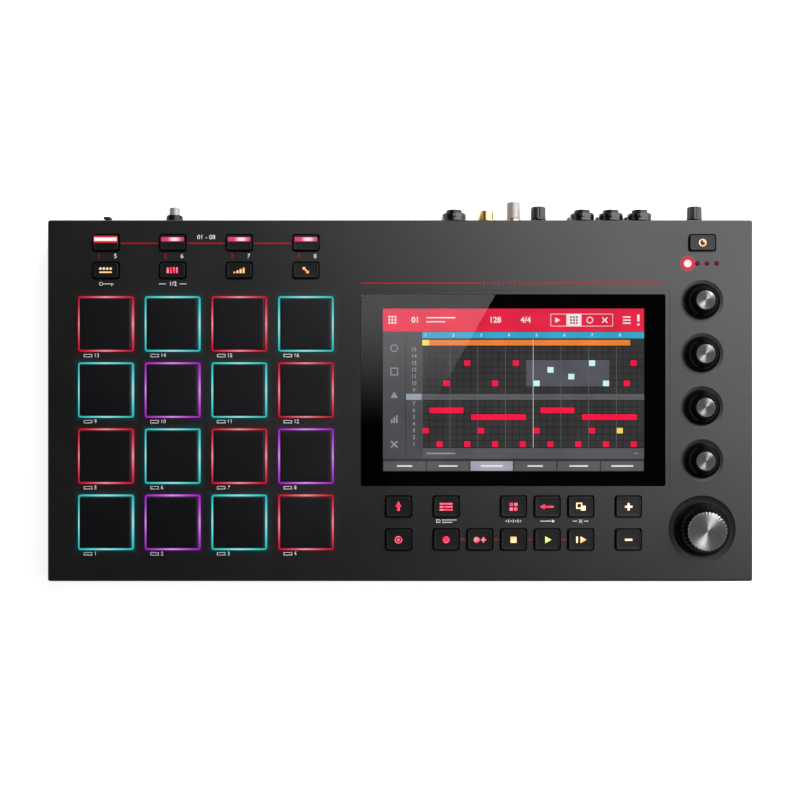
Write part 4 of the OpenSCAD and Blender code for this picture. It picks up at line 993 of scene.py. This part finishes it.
# Layers from the back: each one's colour and shapes
picture = {
    "page": ((0.036, 0.034, 0.035), [("bar", (left + right) / 2, (front + back) / 2, right - left, back - front)]),
    "header": ((0.7, 0.016, 0.055), [("bar", (left + right) / 2, HEADER_Y, right - left, 13.6)]),
    "side": ((0.068, 0.069, 0.075), [("bar", ICONS_X, -3.1, 13.2, 75.2), ("bar", ROWS_X, -3.1, 9.2, 75.2)]),
    "strip": ((0.09, 0.09, 0.1), [("bar", grid_x, STRIP_Y, grid_w, 6.2)]),
    "ruler": ((0.03, 0.36, 0.58), [("bar", grid_x, RULER_Y, grid_w, 3.7)]),
    "song": ((0.82, 0.21, 0.03), [("bar", grid_left + 15 * cell_w, SONG_Y, 30 * cell_w, 3.3)]),
    "lines": ((0.014, 0.014, 0.015),
              [("bar", grid_left + i * cell_w, grid_y, 0.35, grid_d) for i in range(STEPS + 1)]
              + [("bar", grid_x, grid_front + i * cell_d, grid_w, 0.35) for i in range(ROWS + 1)]),
    "area": ((0.085, 0.085, 0.105), [("bar", grid_left + 21 * cell_w, grid_front + 11 * cell_d, 12 * cell_w,
                                      4 * cell_d - 0.3)]),
    "row": ((0.1, 0.1, 0.108), [("bar", grid_x, played_y, grid_w, cell_d - 0.4)]),
    "bars": ((0.13, 0.13, 0.135),
             [("bar", grid_left + i * cell_w, grid_y, 0.28, grid_d) for i in range(0, STEPS, 4)]),
    "notes": ((0.95, 0.006, 0.055),
              [cell(s, 0) for s in range(2, STEPS, 4)] + [cell(s, 2) for s in (0, 8, 16, 24)]
              + [cell(s, 5, 5) for s in (1, 17)] + [cell(s, 4, 8) for s in (7, 23)]
              + [cell(s, 9) for s in (3, 10, 29)] + [cell(s, 12) for s in (6, 13, 30)]),
    "picked": ((0.55, 0.85, 0.88), [cell(16, 9), cell(18, 11), cell(21, 10), cell(24, 12), cell(26, 9)]),
    "key_row": ((0.3, 0.34, 0.38), [("bar", ROWS_X, played_y, 9.2, cell_d - 0.4)]),
    "start": ((0.9, 0.7, 0.12), [cell(28, 2), ("bar", grid_left + cell_w / 2, SONG_Y, cell_w, 3.3)]),
    "tabs": ((0.1, 0.1, 0.105), [tab(i) for i in (0, 1, 3, 4, 5)]),
    "open_tab": ((0.36, 0.36, 0.44), [tab(2)]),
    "white": ((0.74, 0.74, 0.76),
              [("bar", x, HEADER_Y + dy, 1.1, 1.1) for x in (-6.4, -4.6, -2.8) for dy in (-1.6, 0.2, 2.0)]
              + [("number", x, HEADER_Y, words, 3.4) for x, words in ((9.0, "01"), (56.0, "128"), (74.0, "4/4"))]
              + [("bar", 24.0, 42.6, 17, 0.7), ("bar", 21.0, 40.2, 11, 0.7),
                 ("frame", 107.0, HEADER_Y, 36.8, 7.4, 0.3), ("triangle", 92.4, HEADER_Y, 1.9, -90),
                 ("bar", 102.4, HEADER_Y, 8.8, 7.0), ("ring", 111.8, HEADER_Y, 2.0, 0.6),
                 ("bar", 120.6, HEADER_Y, 4.4, 0.7, 45), ("bar", 120.6, HEADER_Y, 4.4, 0.7, -45)]
              + [("bar", 133.5, HEADER_Y + dy, 4.6, 0.8) for dy in (1.8, 0, -1.8)]
              + [("bar", 140.4, 42.4, 1.4, 4.0), ("bar", 140.4, 38.6, 1.4, 1.0)]
              + [("bar", grid_left + 16 * cell_w, (grid_front + 30) / 2, 0.25, 30 - grid_front)]
              + [("number", grid_left + (4 * i + 0.5) * cell_w, RULER_Y, str(i + 1), 1.7) for i in range(8)]
              + [tab(i, 9 + 2 * (i % 3), 0.9) for i in range(6)]),
    "tool_marks": ((0.4, 0.02, 0.04), [("bar", 102.4 + dx, HEADER_Y + dy, 1.1, 1.1)
                                       for dx in (-1.7, 0, 1.7) for dy in (-1.7, 0, 1.7)]),
    "grey": ((0.27, 0.27, 0.28),
             [("ring", ICONS_X, 24.6, 2.3, 0.6), ("frame", ICONS_X, 10.9, 4.6, 4.6, 0.6),
              ("triangle", ICONS_X, -3.4, 2.6, 0), ("bar", -5.0, -18.4, 1.0, 2.2), ("bar", ICONS_X, -17.8, 1.0, 3.4),
              ("bar", -2.0, -17.2, 1.0, 4.6), ("bar", ICONS_X, -32.0, 5.4, 0.9, 45),
              ("bar", ICONS_X, -32.0, 5.4, 0.9, -45)]
             + [("number", ROWS_X, grid_front + (i + 0.5) * cell_d, str(i + 1), 2.3)
                for i in range(ROWS) if i != PLAYED_ROW]
             + [("bar", 24.0, STRIP_Y, 17, 0.9), ("bar", 139.0, STRIP_Y, 2.4, 0.6)]),
}
for layer, (name, (colour, shapes)) in enumerate(picture.items()):
    piece = flat(pic_z + LAYER * layer, shapes, THIN)
    paint = lit("picture_" + name, colour, [min(1.0, part * 1.12 + 0.002) for part in colour], 1.0, 60)
    settle(piece, "display_" + name, paint, "case")
